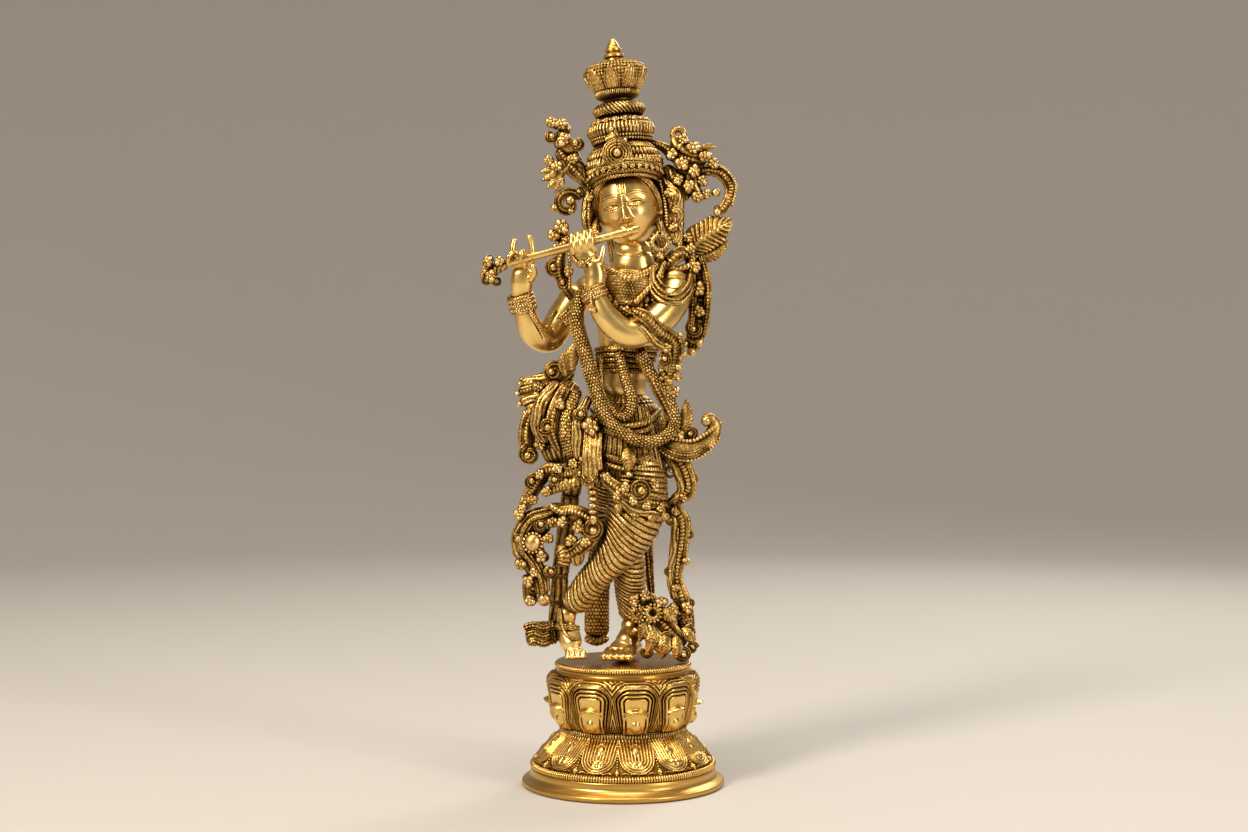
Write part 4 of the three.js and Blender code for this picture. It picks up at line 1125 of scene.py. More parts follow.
def pleats(pitch):
    """Cloth drawn tight round a leg: broad rolled folds that sag, with narrow dark valleys."""

    def relief(s, a, r):
        slant = s + 2.6 * np.cos(a) + 1.2 * np.cos(2 * a) + 0.5 * np.sin(s / 3.1)
        place = wrap(slant / pitch)
        fold = np.clip(1 - (np.abs(place) * 2) ** 4, 0, 1)
        notch = 0.25 * np.abs(np.sin(a * 30)) * (np.floor(slant / pitch) % 2)
        return fold * (1 - notch)

    return relief


def left_leg():
    path = [
        (4, 2, 88), (6, -4, 66), (3, -5.6, 55), (-2.5, -5.6, 45.5), (-8.5, -5, 38), (-16.5, -3.4, 28.4),
        (-21.5, -2, 20.5),
    ]
    return [tube(path, [12.5, 12.4, 11.6, 8.8, 6.8, 5.9, 5.4], pleats(2.0), 0.75, 1.0, sides=240, step=0.16)]


def toes(places, radius, rise):
    """A row of toes, each running down from the instep to its tip on the deck."""
    made = []
    for (x0, y0), (x1, y1) in places:
        lift = radius - 1.2
        path = [
            (x0, y0, rise + lift),
            ((x0 + x1) / 2, (y0 + y1) / 2, 0.72 * rise + lift),
            (x1, y1, 1.5 + lift),
        ]
        made.append(tube(path, [radius * 0.75, radius * 0.95, radius * 1.1], sides=20))
    return made


def left_foot():
    """The crossing foot rests on its toes."""
    leg = [(-22.4, -1.8, 22), (-23.4, -1, 15), (-22.0, -3, 10), (-19.6, -6.4, 5)]
    shank = tube(leg, [4.4, 3.8, 4.9, 4.3], thin=(0, 1, 0), flat=0.8, sides=40)
    heel = balls([(-25, 2.0, 12.4)], 3.0, shape=PEARL)
    ball = tube([(-22.8, -6.6, 4.6), (-16.6, -6.0, 4.4)], [2.6, 2.3], sides=28)
    places = [((-22.6 + k * 2.1, -7.2), (-22.2 + k * 2.2, -10.6 + 0.3 * k)) for k in range(4)]
    return [shank, heel, ball, *toes(places, 1.35, 5.2)]


def right_leg():
    path = [(-7, 6, 86), (-3, 6, 62), (2, 6, 42), (3, 7, 27), (3.4, 7.4, 15)]
    return [tube(path, [10, 8.7, 7.2, 6.4, 4.6], pleats(1.7), 0.7, 1.0, sides=200, step=0.18)]


def right_foot():
    """The standing foot is flat on the deck and points out of it."""
    shank = tube([(3.2, 7.2, 17), (3.5, 7.5, 11), (3.4, 7.6, 6)], [4.6, 4.2, 4.8], sides=32)
    flat = [(4.4, 11.5, 3.6), (3.0, 6, 4.6), (0, -1, 4.4), (-2.0, -4.6, 3.6)]
    sole = tube(flat, [4.2, 5.2, 6.4, 6.2], thin=(0, 0, 1), flat=0.72, sides=44)
    instep = tube([(3.4, 6.6, 10.4), (2.2, 1.8, 8.4), (-0.6, -3, 5.8)], [4.8, 4.8, 4.4], sides=30)
    places = [((-5.8 + k * 2.1, -4.4 - 0.1 * k), (-7.8 + k * 2.7, -11.4 - 0.2 * k)) for k in range(5)]
    ball = tube([(-6.4, -5.2, 4.4), (3.2, -5.6, 4.2)], [2.8, 2.6], sides=30)
    return [shank, sole, instep, ball, *toes(places, 1.65, 5.0)]


def left_arm():
    path = [
        (22, 0, 155), (19.8, -6.6, 146.5), (11.5, -14.5, 136.5), (1.5, -18.5, 133), (-6.6, -19.4, 139.6),
        (-12, -19, 150),
    ]
    return [tube(path, [7.6, 7.2, 6.7, 6.1, 5.3, 3.9], sides=56), balls([(20.5, 0.8, 154)], 7.7, shape=PEARL)]


def left_hand():
    palm = tube([(-12, -19, 148.5), (-11, -18.5, 156), (-13, -18, 163)], [3.7, 4.4, 4.0], flat=0.8, sides=36)
    back = balls([(-15.6, -17.8, 163.6)], 4.4, (1.2, 0.75, 1.0), PEARL)
    fingers = []
    for k in range(4):
        x = -20.4 + 2.55 * k
        z = 167.6 + 0.66 * k
        loop = [
            (x + 1.6, -18.2, z - 4.2), (x + 0.4, -20.7, z - 1.6), (x, -21.0, z + 1.8),
            (x - 0.2, -19.3, z + 4.6), (x, -16.6, z + 4.8),
        ]
        fingers.append(tube(loop, [1.5, 1.42, 1.34, 1.2, 1.0], sides=18))
    thumb = tube([(-10, -18.6, 159), (-8.4, -19.2, 164), (-7.6, -18.8, 168.4)], [1.9, 1.5, 1.1], sides=18)
    return [palm, back, thumb, *fingers]


def hand_jewels(node_middle):
    x, y, z = node_middle
    return [
        chain([(x - 5.5, y - 3, z + 1), (x - 2, y - 4.4, z - 2.6), (x + 3, y - 4.2, z + 0.6)], 0.55),
        flower((x - 1.8, y - 4.6, z - 2.4), 1.7),
    ]


def right_arm():
    path = [(-16, 4, 153.5), (-24.5, 2.2, 141), (-30.6, -2, 132), (-36.6, -7.6, 134.6), (-41, -12.5, 147)]
    return [tube(path, [7.2, 6.6, 6.2, 5.6, 3.8], sides=52)]


def right_hand():
    palm = tube(
        [(-41, -12.5, 145.6), (-40.8, -14, 153.5), (-40, -14.4, 160)], [3.6, 4.6, 4.4], flat=0.62,
        sides=36,
    )
    fingers = [
        [(-37.6, -14.4, 160), (-36.4, -15.4, 166.5), (-37.8, -15, 173)],
        [(-39.4, -14.2, 160), (-39.8, -18.6, 165.4), (-40.4, -20.4, 165.2), (-41, -20.4, 161.4)],
        [(-41.6, -14, 160), (-43.6, -18.4, 165), (-45.4, -20, 164), (-46, -19.8, 160.4)],
        [(-43.2, -13.4, 159), (-44.4, -14.6, 165.8), (-43.6, -14.4, 171.6)],
        [(-37.4, -15, 154), (-35.4, -18.4, 157.6), (-36.6, -20.2, 160.6)],
    ]
    return [palm, *[tube(f, [1.75, 1.4, 1.2, 1.0][: len(f)], sides=18) for f in fingers]]


def bangle(centre, reach, normal, rope_radius=1.1, rows=2):
    """A limb ring of twisted ropes with beads between them."""
    normal = unit(np.asarray(normal, float))
    side = unit(np.cross(normal, [0, 1, 0.01]))
    other = np.cross(normal, side)
    a = np.linspace(0, TURN, 29)[:-1]
    circle = np.cos(a)[:, None] * side + np.sin(a)[:, None] * other
    made = []
    for k in range(rows):
        offset = (k - (rows - 1) / 2) * rope_radius * 1.7
        path = np.asarray(centre, float) + circle * reach + normal * offset
        made.append(tube(np.vstack([path, path[:1]]), rope_radius * 0.8, rope(1.5, 3), 0.35, sides=18))
        if k < rows - 1:
            path = path + normal * rope_radius * 0.85 + circle * rope_radius * 0.4
            made.append(closed_chain(path, rope_radius * 0.55))
    return made


def left_armlet():
    """Three beaded loops that hang over the shoulder."""
    made = []
    for k, radius in enumerate((0.85, 0.75, 0.9)):
        low, out = 150.4 - 2.1 * k, 0.5 * k
        loop = [
            (12.4 - out, -8.6, 161), (12.6 - out, -13.2, low + 4), (16.4, -15.0 - out, low - 0.6),
            (21.6, -13.4 - out, low - 1.4), (26 + out, -8.6 - out, low + 2.6), (27.6 + out, -3, low + 8),
        ]
        made.append(tube(loop, radius, rope(1.3, 3), 0.3, sides=16))
    made.append(
        tube(
            [(13.4, -12.2, 156.6), (16.8, -14.0, 152.4), (21.4, -12.4, 151.6), (25, -8.4, 154.6)], 0.5,
            smooth_relief, sides=12,
        )
    )
    return made


def left_bracelet():
    made = bangle((-11.5, -19, 149), 4.6, (-0.45, 0, 0.9), 1.1, 3)
    return made + [
        chain([(-13, -24, 149), (-12.6, -24.6, 145.5), (-12, -24, 142)], 0.6),
        flower((-12, -24, 142), 1.6),
    ]


def right_armlet():
    made = bangle((-24, 2.4, 141.5), 6.9, (0.62, 0.25, -0.75), 1.2, 3)
    return made + [chain([(-27.5, -4.4, 143), (-31.5, -6.8, 137.5), (-33, -8, 131.5)], 0.65)]


def right_bracelet():
    made = bangle((-40.7, -12, 145.8), 4.7, (-0.25, -0.3, 0.9), 1.15, 4)
    return made + [chain([(-37.5, -16.6, 143), (-34.5, -14.6, 137.6), (-31.6, -10.8, 130.8)], 0.6)]


def left_anklet():
    strand = [(-26, -4.6, 22), (-24.8, -5.6, 15), (-22, -8, 10.4), (-17.6, -7.6, 9.4)]
    return bangle(
        (-22.9, -1.2, 13.4), 4.6, (0.1, 0.2, 1), 0.9, 2
    ) + [tube(strand, 0.9, rope(1.3), 0.3, sides=14)]


def right_anklet():
    return bangle((3.5, 7.5, 9.8), 4.2, (0, -0.2, 1), 1.05, 2) + [
        chain([(-0.6, 4.6, 9), (2.6, 2.8, 7.6), (7.2, 4.8, 9)], 0.6)
    ]


# ---- flute --------------------------------------------------------------------------------------
def flute_axis():
    low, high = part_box("flute")
    joint = frame["joints"][0]["axis"]
    middle = (np.array(low) + np.array(high)) / 2
    middle = (middle - [0, 0, DECK]) / MM
    return middle, unit(np.array(joint, float)), (high.x - low.x) / MM


def flute():
    middle, away, span = flute_axis()
    half = span / 2 / abs(away[0])
    near, far = middle - away * half, middle + away * half

    def mouldings(s, a, r):
        grooves = bell(s - 4, 0.35) + bell(s - 5.2, 0.35) + bell(
            s - 2 * half + 6, 0.5
        ) + bell(s - 2 * half + 8, 0.5)
        return 1 - 0.5 * np.clip(grooves, 0, 1)

    made = [tube([near, middle, far], 1.6, mouldings, 0.4, sides=36, step=0.3, blunt=0.3)]
    front = np.array([0.0, -1.0, 0.0])
    for k in range(6):
        made.append(balls([near + away * (12 + 3.1 * k) + front * 1.5], 0.42, (1, 0.4, 1)))
    return made


def flute_tassel():
    low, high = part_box("flute_tassel")
    low, high = ((np.array(c) - [0, 0, DECK]) / MM for c in (low, high))
    x, y, z = (low + high) / 2
    return [
        tube(
            [(high[0] + 0.4, y, z + 2.6), (x, y, z), (low[0] + 3, y, z - 2)], [1.9, 2.6, 3.4],
            rope(2.2, 4), 0.6,
        ),
        flower((x + 2.4, y - 2.2, z + 3.4), 2.4),
        flower((x - 2.2, y - 2.6, z + 3.2), 2.6, 6),
        flower((x - 1, y - 3, z - 2.6), 2.8, 5),
        flower((low[0] + 2.4, y - 1, z + 0.6), 2.7, 5, (-0.8, -0.6, 0.2)),
        curl((x + 1.4, y - 1, z - 4.2), 2.2, 1.1, 120, 0.9),
        curl((low[0] + 2, y - 1, z - 3.8), 2.0, -1.1, 20, 0.9),
        curl((low[0] + 3, y, z + 4.6), 2.0, 1.1, 200, 0.85),
        balls([(low[0] + 0.8, y, z - 1.6)], 1.3, shape=PEARL),
    ]


# ---- garlands and necklace ----------------------------------------------------------------------
def necklace():
    """A deep collar of beads, chevrons and drops that covers the chest."""
    made = [
        tube(
            [(3.6, -8.6, 160), (2.6, -11, 151), (1.8, -12.6, 143)], [12.4, 10.4, 3.4], pinecone(1.25),
            0.6, 0.3, sides=90,
        )
    ]
    collar = [
        (-9.6, -3.4, 162), (-5.4, -8.8, 158.6), (3, -11.8, 155.6), (11.4, -8.8, 158.8),
        (16.8, -3.2, 163.4),
    ]
    made.append(tube(collar, [1.5, 1.9, 2.1, 1.9, 1.5], rope(1.5, 3), 0.45, 0.8, sides=36))
    for drop, radius, relief in ((3.8, 1.2, scarf(1.3)), (7.4, 1.3, rope(1.5, 3)), (11.0, 1.4, scarf(1.3))):
        band = [(x, y - 1.2, z - drop - 0.35 * drop * (1 - abs(x - 3) / 13)) for x, y, z in collar]
        made.append(
            tube(band, [radius * 0.8, radius, radius, radius, radius * 0.8], relief, 0.4, 0.8, sides=26)
        )
    for k in range(-4, 5):
        x, z = 2 + 2.5 * k, 139.4 + 2.3 * abs(k)
        made.append(
            leaf((x, -13.2 + 0.3 * abs(k), z + 3), (x, -14.2 + 0.4 * abs(k), z - 1.2), 1.4, (0, -0.5, 0))
        )
        made.append(balls([(x, -14.2 + 0.4 * abs(k), z - 1.8)], 0.85))
    made.append(flower((1.6, -14, 142), 2.6, 6))
    strand = [(17, -5.4, 163), (14, -10.4, 156), (9, -13.6, 150), (4.4, -14.6, 145)]
    made.append(tube(strand, 1.3, rope(1.8, 3), 0.4, sides=20))
    return made


GARLAND = [
    (-16, -10, 152), (-18.5, -13, 138), (-15, -14.5, 125), (-11, -14.5, 111), (-6, -15.5, 99), (3, -16, 91.5),
    (13, -15, 90), (20.5, -11.5, 96), (19, -11, 106), (12, -12.5, 116), (6, -12.5, 126),
]
INNER_GARLAND = [
    (-2, -9, 126), (1, -10, 115), (3.4, -12.5, 106), (0.5, -13, 99.5), (-5, -13, 102.5), (-8.5, -12, 108)
]


def outer_garland():
    made = [tube(GARLAND, 2.55, pinecone(1.45), 0.6, sides=44, step=0.2)]
    for shift in (3.1, -3.1):
        side = [
            (x + shift * 0.72, y + 1.4, z + shift * 0.4 * (1 if x < 0 else -1)) for x, y, z in GARLAND[:6]
        ]
        made.append(chain(side, 0.7))
    return made


def inner_garland():
    made = [tube(INNER_GARLAND, 2.5, pinecone(1.3), 0.5, sides=36, step=0.2)]
    second = [(7, -10, 128), (9, -12, 121), (12.6, -12.4, 113), (16.4, -12, 105.6), (20, -11, 98)]
    made.append(tube(second, [2.0, 2.5, 2.6, 2.4, 2.0], scarf(1.4), 0.55, sides=34, step=0.25))
    made.append(
        tube(
            [(-9, -9.4, 124), (-9.4, -10.8, 118), (-8.6, -11.4, 110)], [1.2, 1.7, 1.5], pinecone(1.2), 0.4
        )
    )
    return made


def waistband():
    made = []
    for z, reach, radius, relief in (
        (105, 12.9, 1.0, rope(1.5, 3)),
        (107.2, 12.2, 1.3, pinecone(1.2)),
        (109.4, 11.6, 0.9, rope(1.5, 3)),
    ):
        a = np.linspace(0, TURN, 37)[:-1]
        path = np.stack([0.5 + reach * np.cos(a), 3 + reach * 0.82 * np.sin(a), np.full(36, z)], -1)
        made.append(tube(np.vstack([path, path[:1]]), radius, relief, 0.35, sides=18))
    made.append(flower((0.4, -8.6, 107), 2.8, 8))
    return made


# ---- sashes, scarves and foliage ----------------------------------------------------------------
def sash_tails():
    made = [
        flower((-13, -14.6, 95.8), 4.2, 6),
        curl((-16.4, -13, 98.4), 2.4, 1.1, -40, 1.0),
        curl((-9.8, -13, 98.6), 2.3, -1.1, 220, 1.0),
    ]
    for x0, x1, z1, wide in (
        (-14.6, -15.2, 72, 1.6), (-13.0, -13.2, 70.6, 1.7), (-11.2, -11.4, 73, 1.6), (-9.6, -9.4, 78, 1.5)
    ):
        made.append(
            tube(
                [(x0, -13.4, 94), (x0 - 0.3, -15.2, 84), (x1, -15.6, z1)], [1.2, wide, wide],
                strands(6, 0.1), 0.4, 0.7, sides=24,
            )
        )
    made.append(
        tube([(-16.6, -15.4, 76.5), (-13.4, -16.4, 73.6), (-10.4, -15.6, 76.5)], 1.5, scarf(1.3), 0.4)
    )
    drops = [(-12.2, -14.6, z) for z in (69.4, 66.8, 64.2, 61.6)]
    for k, place in enumerate(drops):
        made.append(balls([place], 2.2 - 0.12 * k, (1, 1, 0.62), PEARL))
    made.append(balls([(-12, -14.4, 58.6)], 1.7, (1, 1, 1.3), PEARL))
    return made


def knee_flowers():
    ribbon = [(-10, -13.6, 77), (-4, -16.4, 72.5), (2, -17.4, 68.6), (9, -17.6, 66), (16, -14.6, 65)]
    made = [tube(ribbon, [1.98, 2.86, 3.19, 2.97, 2.2], scarf(1.4), 0.5, 0.75)]
    made.append(
        tube(
            [(x, y + 0.6, z - 4.2) for x, y, z in ribbon[1:]], [1.54, 2.2, 2.2, 1.54], strands(6), 0.4,
            0.8,
        )
    )
    made.append(curl((6.4, -19.2, 70.6), 3.74, 1.4, 200, 2.03))
    for x, y, z, r in (
        (1, -18.4, 71.6, 2.6), (12.6, -17, 73, 2.5), (-2.4, -18, 68.4, 2.3), (4, -19.4, 66.2, 2.2),
        (9.4, -19, 64.2, 2.1), (15, -16, 63.4, 2.2), (-6.4, -16.2, 75.6, 2.3),
    ):
        made.append(flower((x, y, z), r))
    for x, z, end in (
        (-1, 65.5, (-3, -17, 60.6)), (5, 62.6, (4.4, -18.4, 58.2)), (11, 61.2, (12, -17.4, 57)),
        (16, 61.4, (18.4, -14.6, 57.6)),
    ):
        made.append(leaf((x, -17.4, z), end, 1.8, (0, -0.7, 0)))
    return made


def hip_scroll():
    body = [
        (13, -6, 92), (20, -9, 87.4), (28, -8, 86.4), (34.6, -7, 90), (37, -7, 96), (34.6, -7.4, 99.6),
        (32.6, -7.6, 97.6),
    ]
    made = [
        tube(body, [2.4, 4.2, 4.5, 3.7, 2.7, 2.0, 1.3], smooth_relief, 0.0, 0.7, sides=36),
        chain([(x, y - 2.6, z + 3.6) for x, y, z in body[1:4]] + [(39.6, -7.4, 97)], 0.9),
        chain([(x, y - 2.2, z - 4.0) for x, y, z in body[:4]] + [(39, -7.2, 91)], 0.9),
        tube([(x, y - 2.9, z - 2) for x, y, z in body[:4]], [1.1, 1.54, 1.54, 1.1], scarf(1.3), 0.35),
        balls([(33.6, -8.6, 98)], 2.2, shape=PEARL),
        leaf((22, -9, 91), (25.6, -7.6, 107), 3.0, (1.6, -0.6, 0)),
        leaf((17, -9.6, 92), (20, -9, 104), 2.6, (-1.4, -0.6, 0)),
        flower((17.4, -11.6, 115.6), 3.81, 6),
        flower((20.5, -10.8, 109.6), 2.91),
        flower((22.4, -10.4, 92.6), 2.91),
        curl((27.4, -8.6, 93.4), 2.86, 1.2, 180, 1.35),
    ]
    return made


def scarf_fall_left():
    path = [
        (19, -2, 86), (24.5, -2, 79), (26.5, -1.5, 70), (21, -1, 64.5), (24, -1, 57), (23.5, -1, 46),
        (22, -1, 34), (24, -1, 26), (26.5, -1, 17),
    ]
    made = [tube(path, [3.25, 4.38, 4, 2.88, 4.25, 3.88, 2.75, 3.75, 3.75], scarf(1.5), 0.7, 0.7, sides=36)]
    made.append(
        tube(
            [(x - 2.8, y - 1, z - 1) for x, y, z in path[:8]], [1.5, 2, 1.88, 1.38, 2, 1.88, 1.38, 1.62],
            strands(6), 0.35, 0.8,
        )
    )
    for x, y, z, r, turn in (
        (19.6, -3.4, 77, 2.8, 30), (28.6, -2.6, 74.6, 2.0, 200), (19.8, -3, 57.4, 2.4, 60),
        (27, -2.4, 52, 2.0, 160), (18.8, -2.6, 36.4, 2.2, -20), (27.4, -2.2, 24, 2.2, 120),
        (22.6, -2.8, 19, 2.3, 0),
    ):
        made.append(curl((x, y, z), r, 1.2, turn, 0.9))
    for x, z, r in ((24.6, 66.8, 2.0), (21, 61.4, 2.2), (25.8, 41, 1.9), (21.4, 30, 2.0), (25, 84, 2.0)):
        made.append(flower((x, -3.8, z), r))
    return made


def foot_foliage():
    """Cloth bunched beside the standing foot: sagging folds, broad leaves and scrolled ends."""
    made = [
        tube([(7, 2, 27), (13, 1, 16), (19, 0, 5)], [4.6, 7.0, 8.0], folds(15), 0.9, 0.55, sides=90),
        tube([(10, -2, 24), (17, -3.6, 15), (25, -3, 6)], [3.2, 4.6, 4.2], scarf(1.5), 0.7, 0.6, sides=44),
        tube(
            [(8, -3, 20), (12, -5.6, 11), (19, -5.6, 3.6)], [2.6, 3.8, 3.4], strands(12, 0.2), 0.6, 0.7,
            sides=50,
        ),
        tube(
            [(22, 1, 27), (25.6, -0.4, 18), (25, -1, 8)], [2.4, 3.6, 4.0], pinecone(1.5), 0.6, 0.7,
            sides=40,
        ),
    ]
    for base, tip, width in (
        ((10, -4, 20), (6.4, -6.4, 8), 2.8), ((13, -6, 15), (9.4, -8, 3.4), 2.8),
        ((17, -6.6, 12), (15.6, -8.4, 1.6), 3.0), ((21, -6, 11), (21.6, -7.6, 1.4), 2.8),
        ((24, -4.4, 14), (29, -4.6, 7), 2.6), ((14, -6, 22), (22, -7, 16.6), 2.8),
    ):
        made.append(leaf(base, tip, width, (0.6, -1.2, 0)))
    for x, y, z, size in ((6, -6, 19.8, 3.3), (12, -7.6, 20.2, 3.5)):
        made.append(ring_front((x, y - 0.6, z), size, 14, 0.62))
        made.append(
            tube(spiral((x, y, z), size * 0.66, size * 0.66, 1.0, 90, 16), 1.1, rope(1.3), 0.3, sides=18)
        )
    for x, y, z in ((9, -4.4, 27), (15.6, -6.4, 24.4), (20.4, -5.4, 21.6), (26, -3.4, 22), (4.6, -4.4, 25)):
        made.append(flower((x, y, z), 2.9, 5))
    for x, z, size, start in (
        (24.4, 4.0, 3.1, 180), (28.4, 5.6, 2.0, 0), (27.6, 12.6, 2.2, 60), (10, 4.4, 2.2, 140),
        (17.6, 9.6, 2.4, 30),
    ):
        made.append(curl((x, -6.6 if x < 26 else -4, z), size, 1.3, start, 1.3))
    return made


def elbow_scarf():
    path = [
        (4, -22, 142), (9, -22.6, 139.4), (15, -19.6, 133.4), (20.4, -15, 129), (20, -12.6, 121),
        (17.4, -12, 113), (21, -10.6, 108),
    ]
    made = [tube(path, [2.04, 3.12, 3.6, 4.32, 3.84, 3.12, 2.4], scarf(1.4), 0.6, 0.75)]
    made.append(
        tube(
            [(x - 2.4, y - 0.8, z - 3.4) for x, y, z in path[1:5]], [1.32, 1.8, 1.92, 1.44], strands(6),
            0.35,
        )
    )
    for x, y, z, r in (
        (22.6, -15.6, 131.4, 2.6), (17.6, -17.6, 127.4, 2.4), (23.6, -13.6, 124.6, 2.3),
        (15.6, -14.6, 119.6, 2.2), (22, -12.6, 116, 2.2),
    ):
        made.append(flower((x, y, z), r))
    made += [
        curl((11.6, -21.6, 135.6), 2.86, 1.2, 60, 1.49),
        curl((16.4, -16.6, 122.4), 2.53, -1.2, 140, 1.35),
        balls([(22.4, -14, 127.4), (22.2, -13.4, 119.8)], 1.7, shape=PEARL),
    ]
    return made


def shoulder_tassel():
    path = [(27.6, 3.4, 168), (31.5, 3.6, 158), (31.5, 3.6, 150), (31, 3.6, 138), (28, 4, 127)]
    made = [tube(path, [3.52, 4.62, 4.18, 4.84, 3.3], rings(2.2, 2), 0.8, 0.75, sides=60)]
    made.append(
        tube(
            [(27, 0.4, 167), (28, -1, 156), (28.4, -1, 146), (27.6, -0.6, 134)], [1.65, 2.2, 1.98, 1.32],
            scarf(1.4), 0.5,
        )
    )
    made.append(
        tube(
            [(32, 0.4, 166), (34.4, 0, 156), (34.6, 0, 146), (33, 0.6, 133)], [1.32, 1.98, 1.87, 1.32],
            scarf(1.4), 0.5,
        )
    )
    made += [
        flower((30.6, -1.6, 152), 3.58, 6),
        flower((31, -1.4, 143), 2.91),
        flower((29.6, -1.4, 161), 2.91),
        flower((26.6, 0.6, 173), 2.8),
    ]
    made += [
        curl((29.4, -0.6, 136), 3.08, 1.3, 90, 1.62),
        balls([(28.2, 1.6, 126.4), (31.2, 1.4, 130.4), (25.4, 1.6, 129.8)], [2.1, 2.0, 1.6], shape=PEARL),
    ]
    made += [
        tube(
            [
                (17.4, -3.6, 163.4), (21, -3.2, 160), (25, -2.4, 160.6), (28.4, -1, 163),
                (27.4, -0.6, 167.6), (24, -0.6, 169),
            ],
            [1.1, 1.54, 1.65, 1.54, 1.32, 0.99],
            rope(1.7, 3),
            0.4,
        )
    ]
    return made


def shoulder_feather():
    """One broad feather, notched along its edge, over two smaller ones."""
    made = [
        tube(
            [(26, 1.4, 166), (32, 1.2, 172.4), (38.6, 1.6, 177), (45, 3, 180.6)], [3.4, 6.4, 6.8, 1.6],
            barbs(2.1), 1.1, 0.2, sides=60, step=0.2,
        ),
        leaf((27, 2.6, 165), (43.4, 4.6, 172.6), 3.4, (1.6, 0, -1.8), (0, 1, 0), 0.22),
        leaf((25.4, 0.8, 168), (35, 3.4, 180), 2.8, (-1.6, 0, 1.4), (0, 1, 0), 0.22),
        tube(
            [(15.4, -2, 158), (19, -3.4, 163), (24, -2.4, 166.6), (27, -0.6, 165)], [2.4, 3.4, 3.6, 2.4],
            scarf(1.5), 0.6, 0.75, sides=34,
        ),
    ]
    return made + [flower((27.6, -1.6, 168.4), 2.8, 6)]


def hair_spray_left():
    """The blossoms and the hooked tip of the ribbon beside the figure's left temple."""
    ribbon = [(9, 3, 213), (16, 3, 211), (22, 2, 207), (28, 1, 205), (34, 1, 204)]
    temple = [(16, 3, 202), (20, 2, 199), (23, 1, 195), (25.6, 1, 188)]
    made = [
        tube(ribbon, [1.8, 2.16, 3.6, 3.8, 2.9], scarf(1.4), 0.5, 0.8),
        tube(temple, [2.88, 3.84, 3.84, 2.4], strands(9, 0.4, 9), 0.5, 0.8),
        tube(
            [(20.6, 1, 215), (23, 0.4, 211), (28, 0.4, 208.6), (33, 0.6, 207.6)], [2.2, 3.2, 3.4, 2.6],
            folds(4), 0.6, 0.9,
        ),
        tube(
            [(23, 1, 203), (28, 0.6, 199.6), (28.6, 0.6, 194), (31.6, 0.6, 189.6)], [3.2, 3.9, 3.4, 2.6],
            folds(5), 0.6, 0.9,
        ),
        tube(spiral((22.6, 0.4, 215.4), 2.4, 2.2, 1.2, -90, 12), 1.3, rope(1.2), 0.3, sides=18),
    ]
    rosettes = [
        (24, -2.4, 203, 3.5), (28.6, -2.2, 209.6, 3.3), (33.4, -1.4, 206, 3.1), (37, -0.6, 203.4, 2.7),
        (20, -1.2, 207, 2.9), (29, -2.4, 200, 3.2), (26.8, -2.4, 194, 3.1), (32.4, -1.4, 196.2, 2.7),
        (30.4, -1.6, 189.6, 2.9), (22.6, -2.2, 196.6, 2.8), (34, -1.2, 190.6, 2.4),
        (24.6, -1.6, 213, 2.6),
    ]
    for k, (x, y, z, radius) in enumerate(rosettes):
        made.append(flower((x, y, z), radius, 5 + k % 2))
    made += [
        leaf((30, 1, 208), (38.6, 0.6, 210.6), 1.8, (0, -0.6, 1)),
        leaf((31, 1, 202), (38.4, 0.6, 199.6), 1.7, (0, -0.6, -0.8)),
    ]
    hook = [
        (29, 1.4, 198), (33.4, 1.2, 200.6), (39.8, 1.2, 199.8), (44.2, 1.2, 194), (43, 1.2, 187.6),
        (39.8, 1.2, 184.4), (37.6, 1.2, 186.4),
    ]
    made.append(tube(hook, [1.8, 2.3, 2.8, 2.9, 2.7, 2.2, 1.5], scarf(1.3), 0.5, 0.8))
    made.append(balls([(38.6, 0.4, 183.6), (38, 0.2, 191.6)], [1.7, 1.9], shape=PEARL))
    made.append(chain([(33.6, -0.4, 202.6), (40.6, -0.4, 202), (46.2, -0.2, 195), (45, -0.2, 187)], 0.65))
    return made


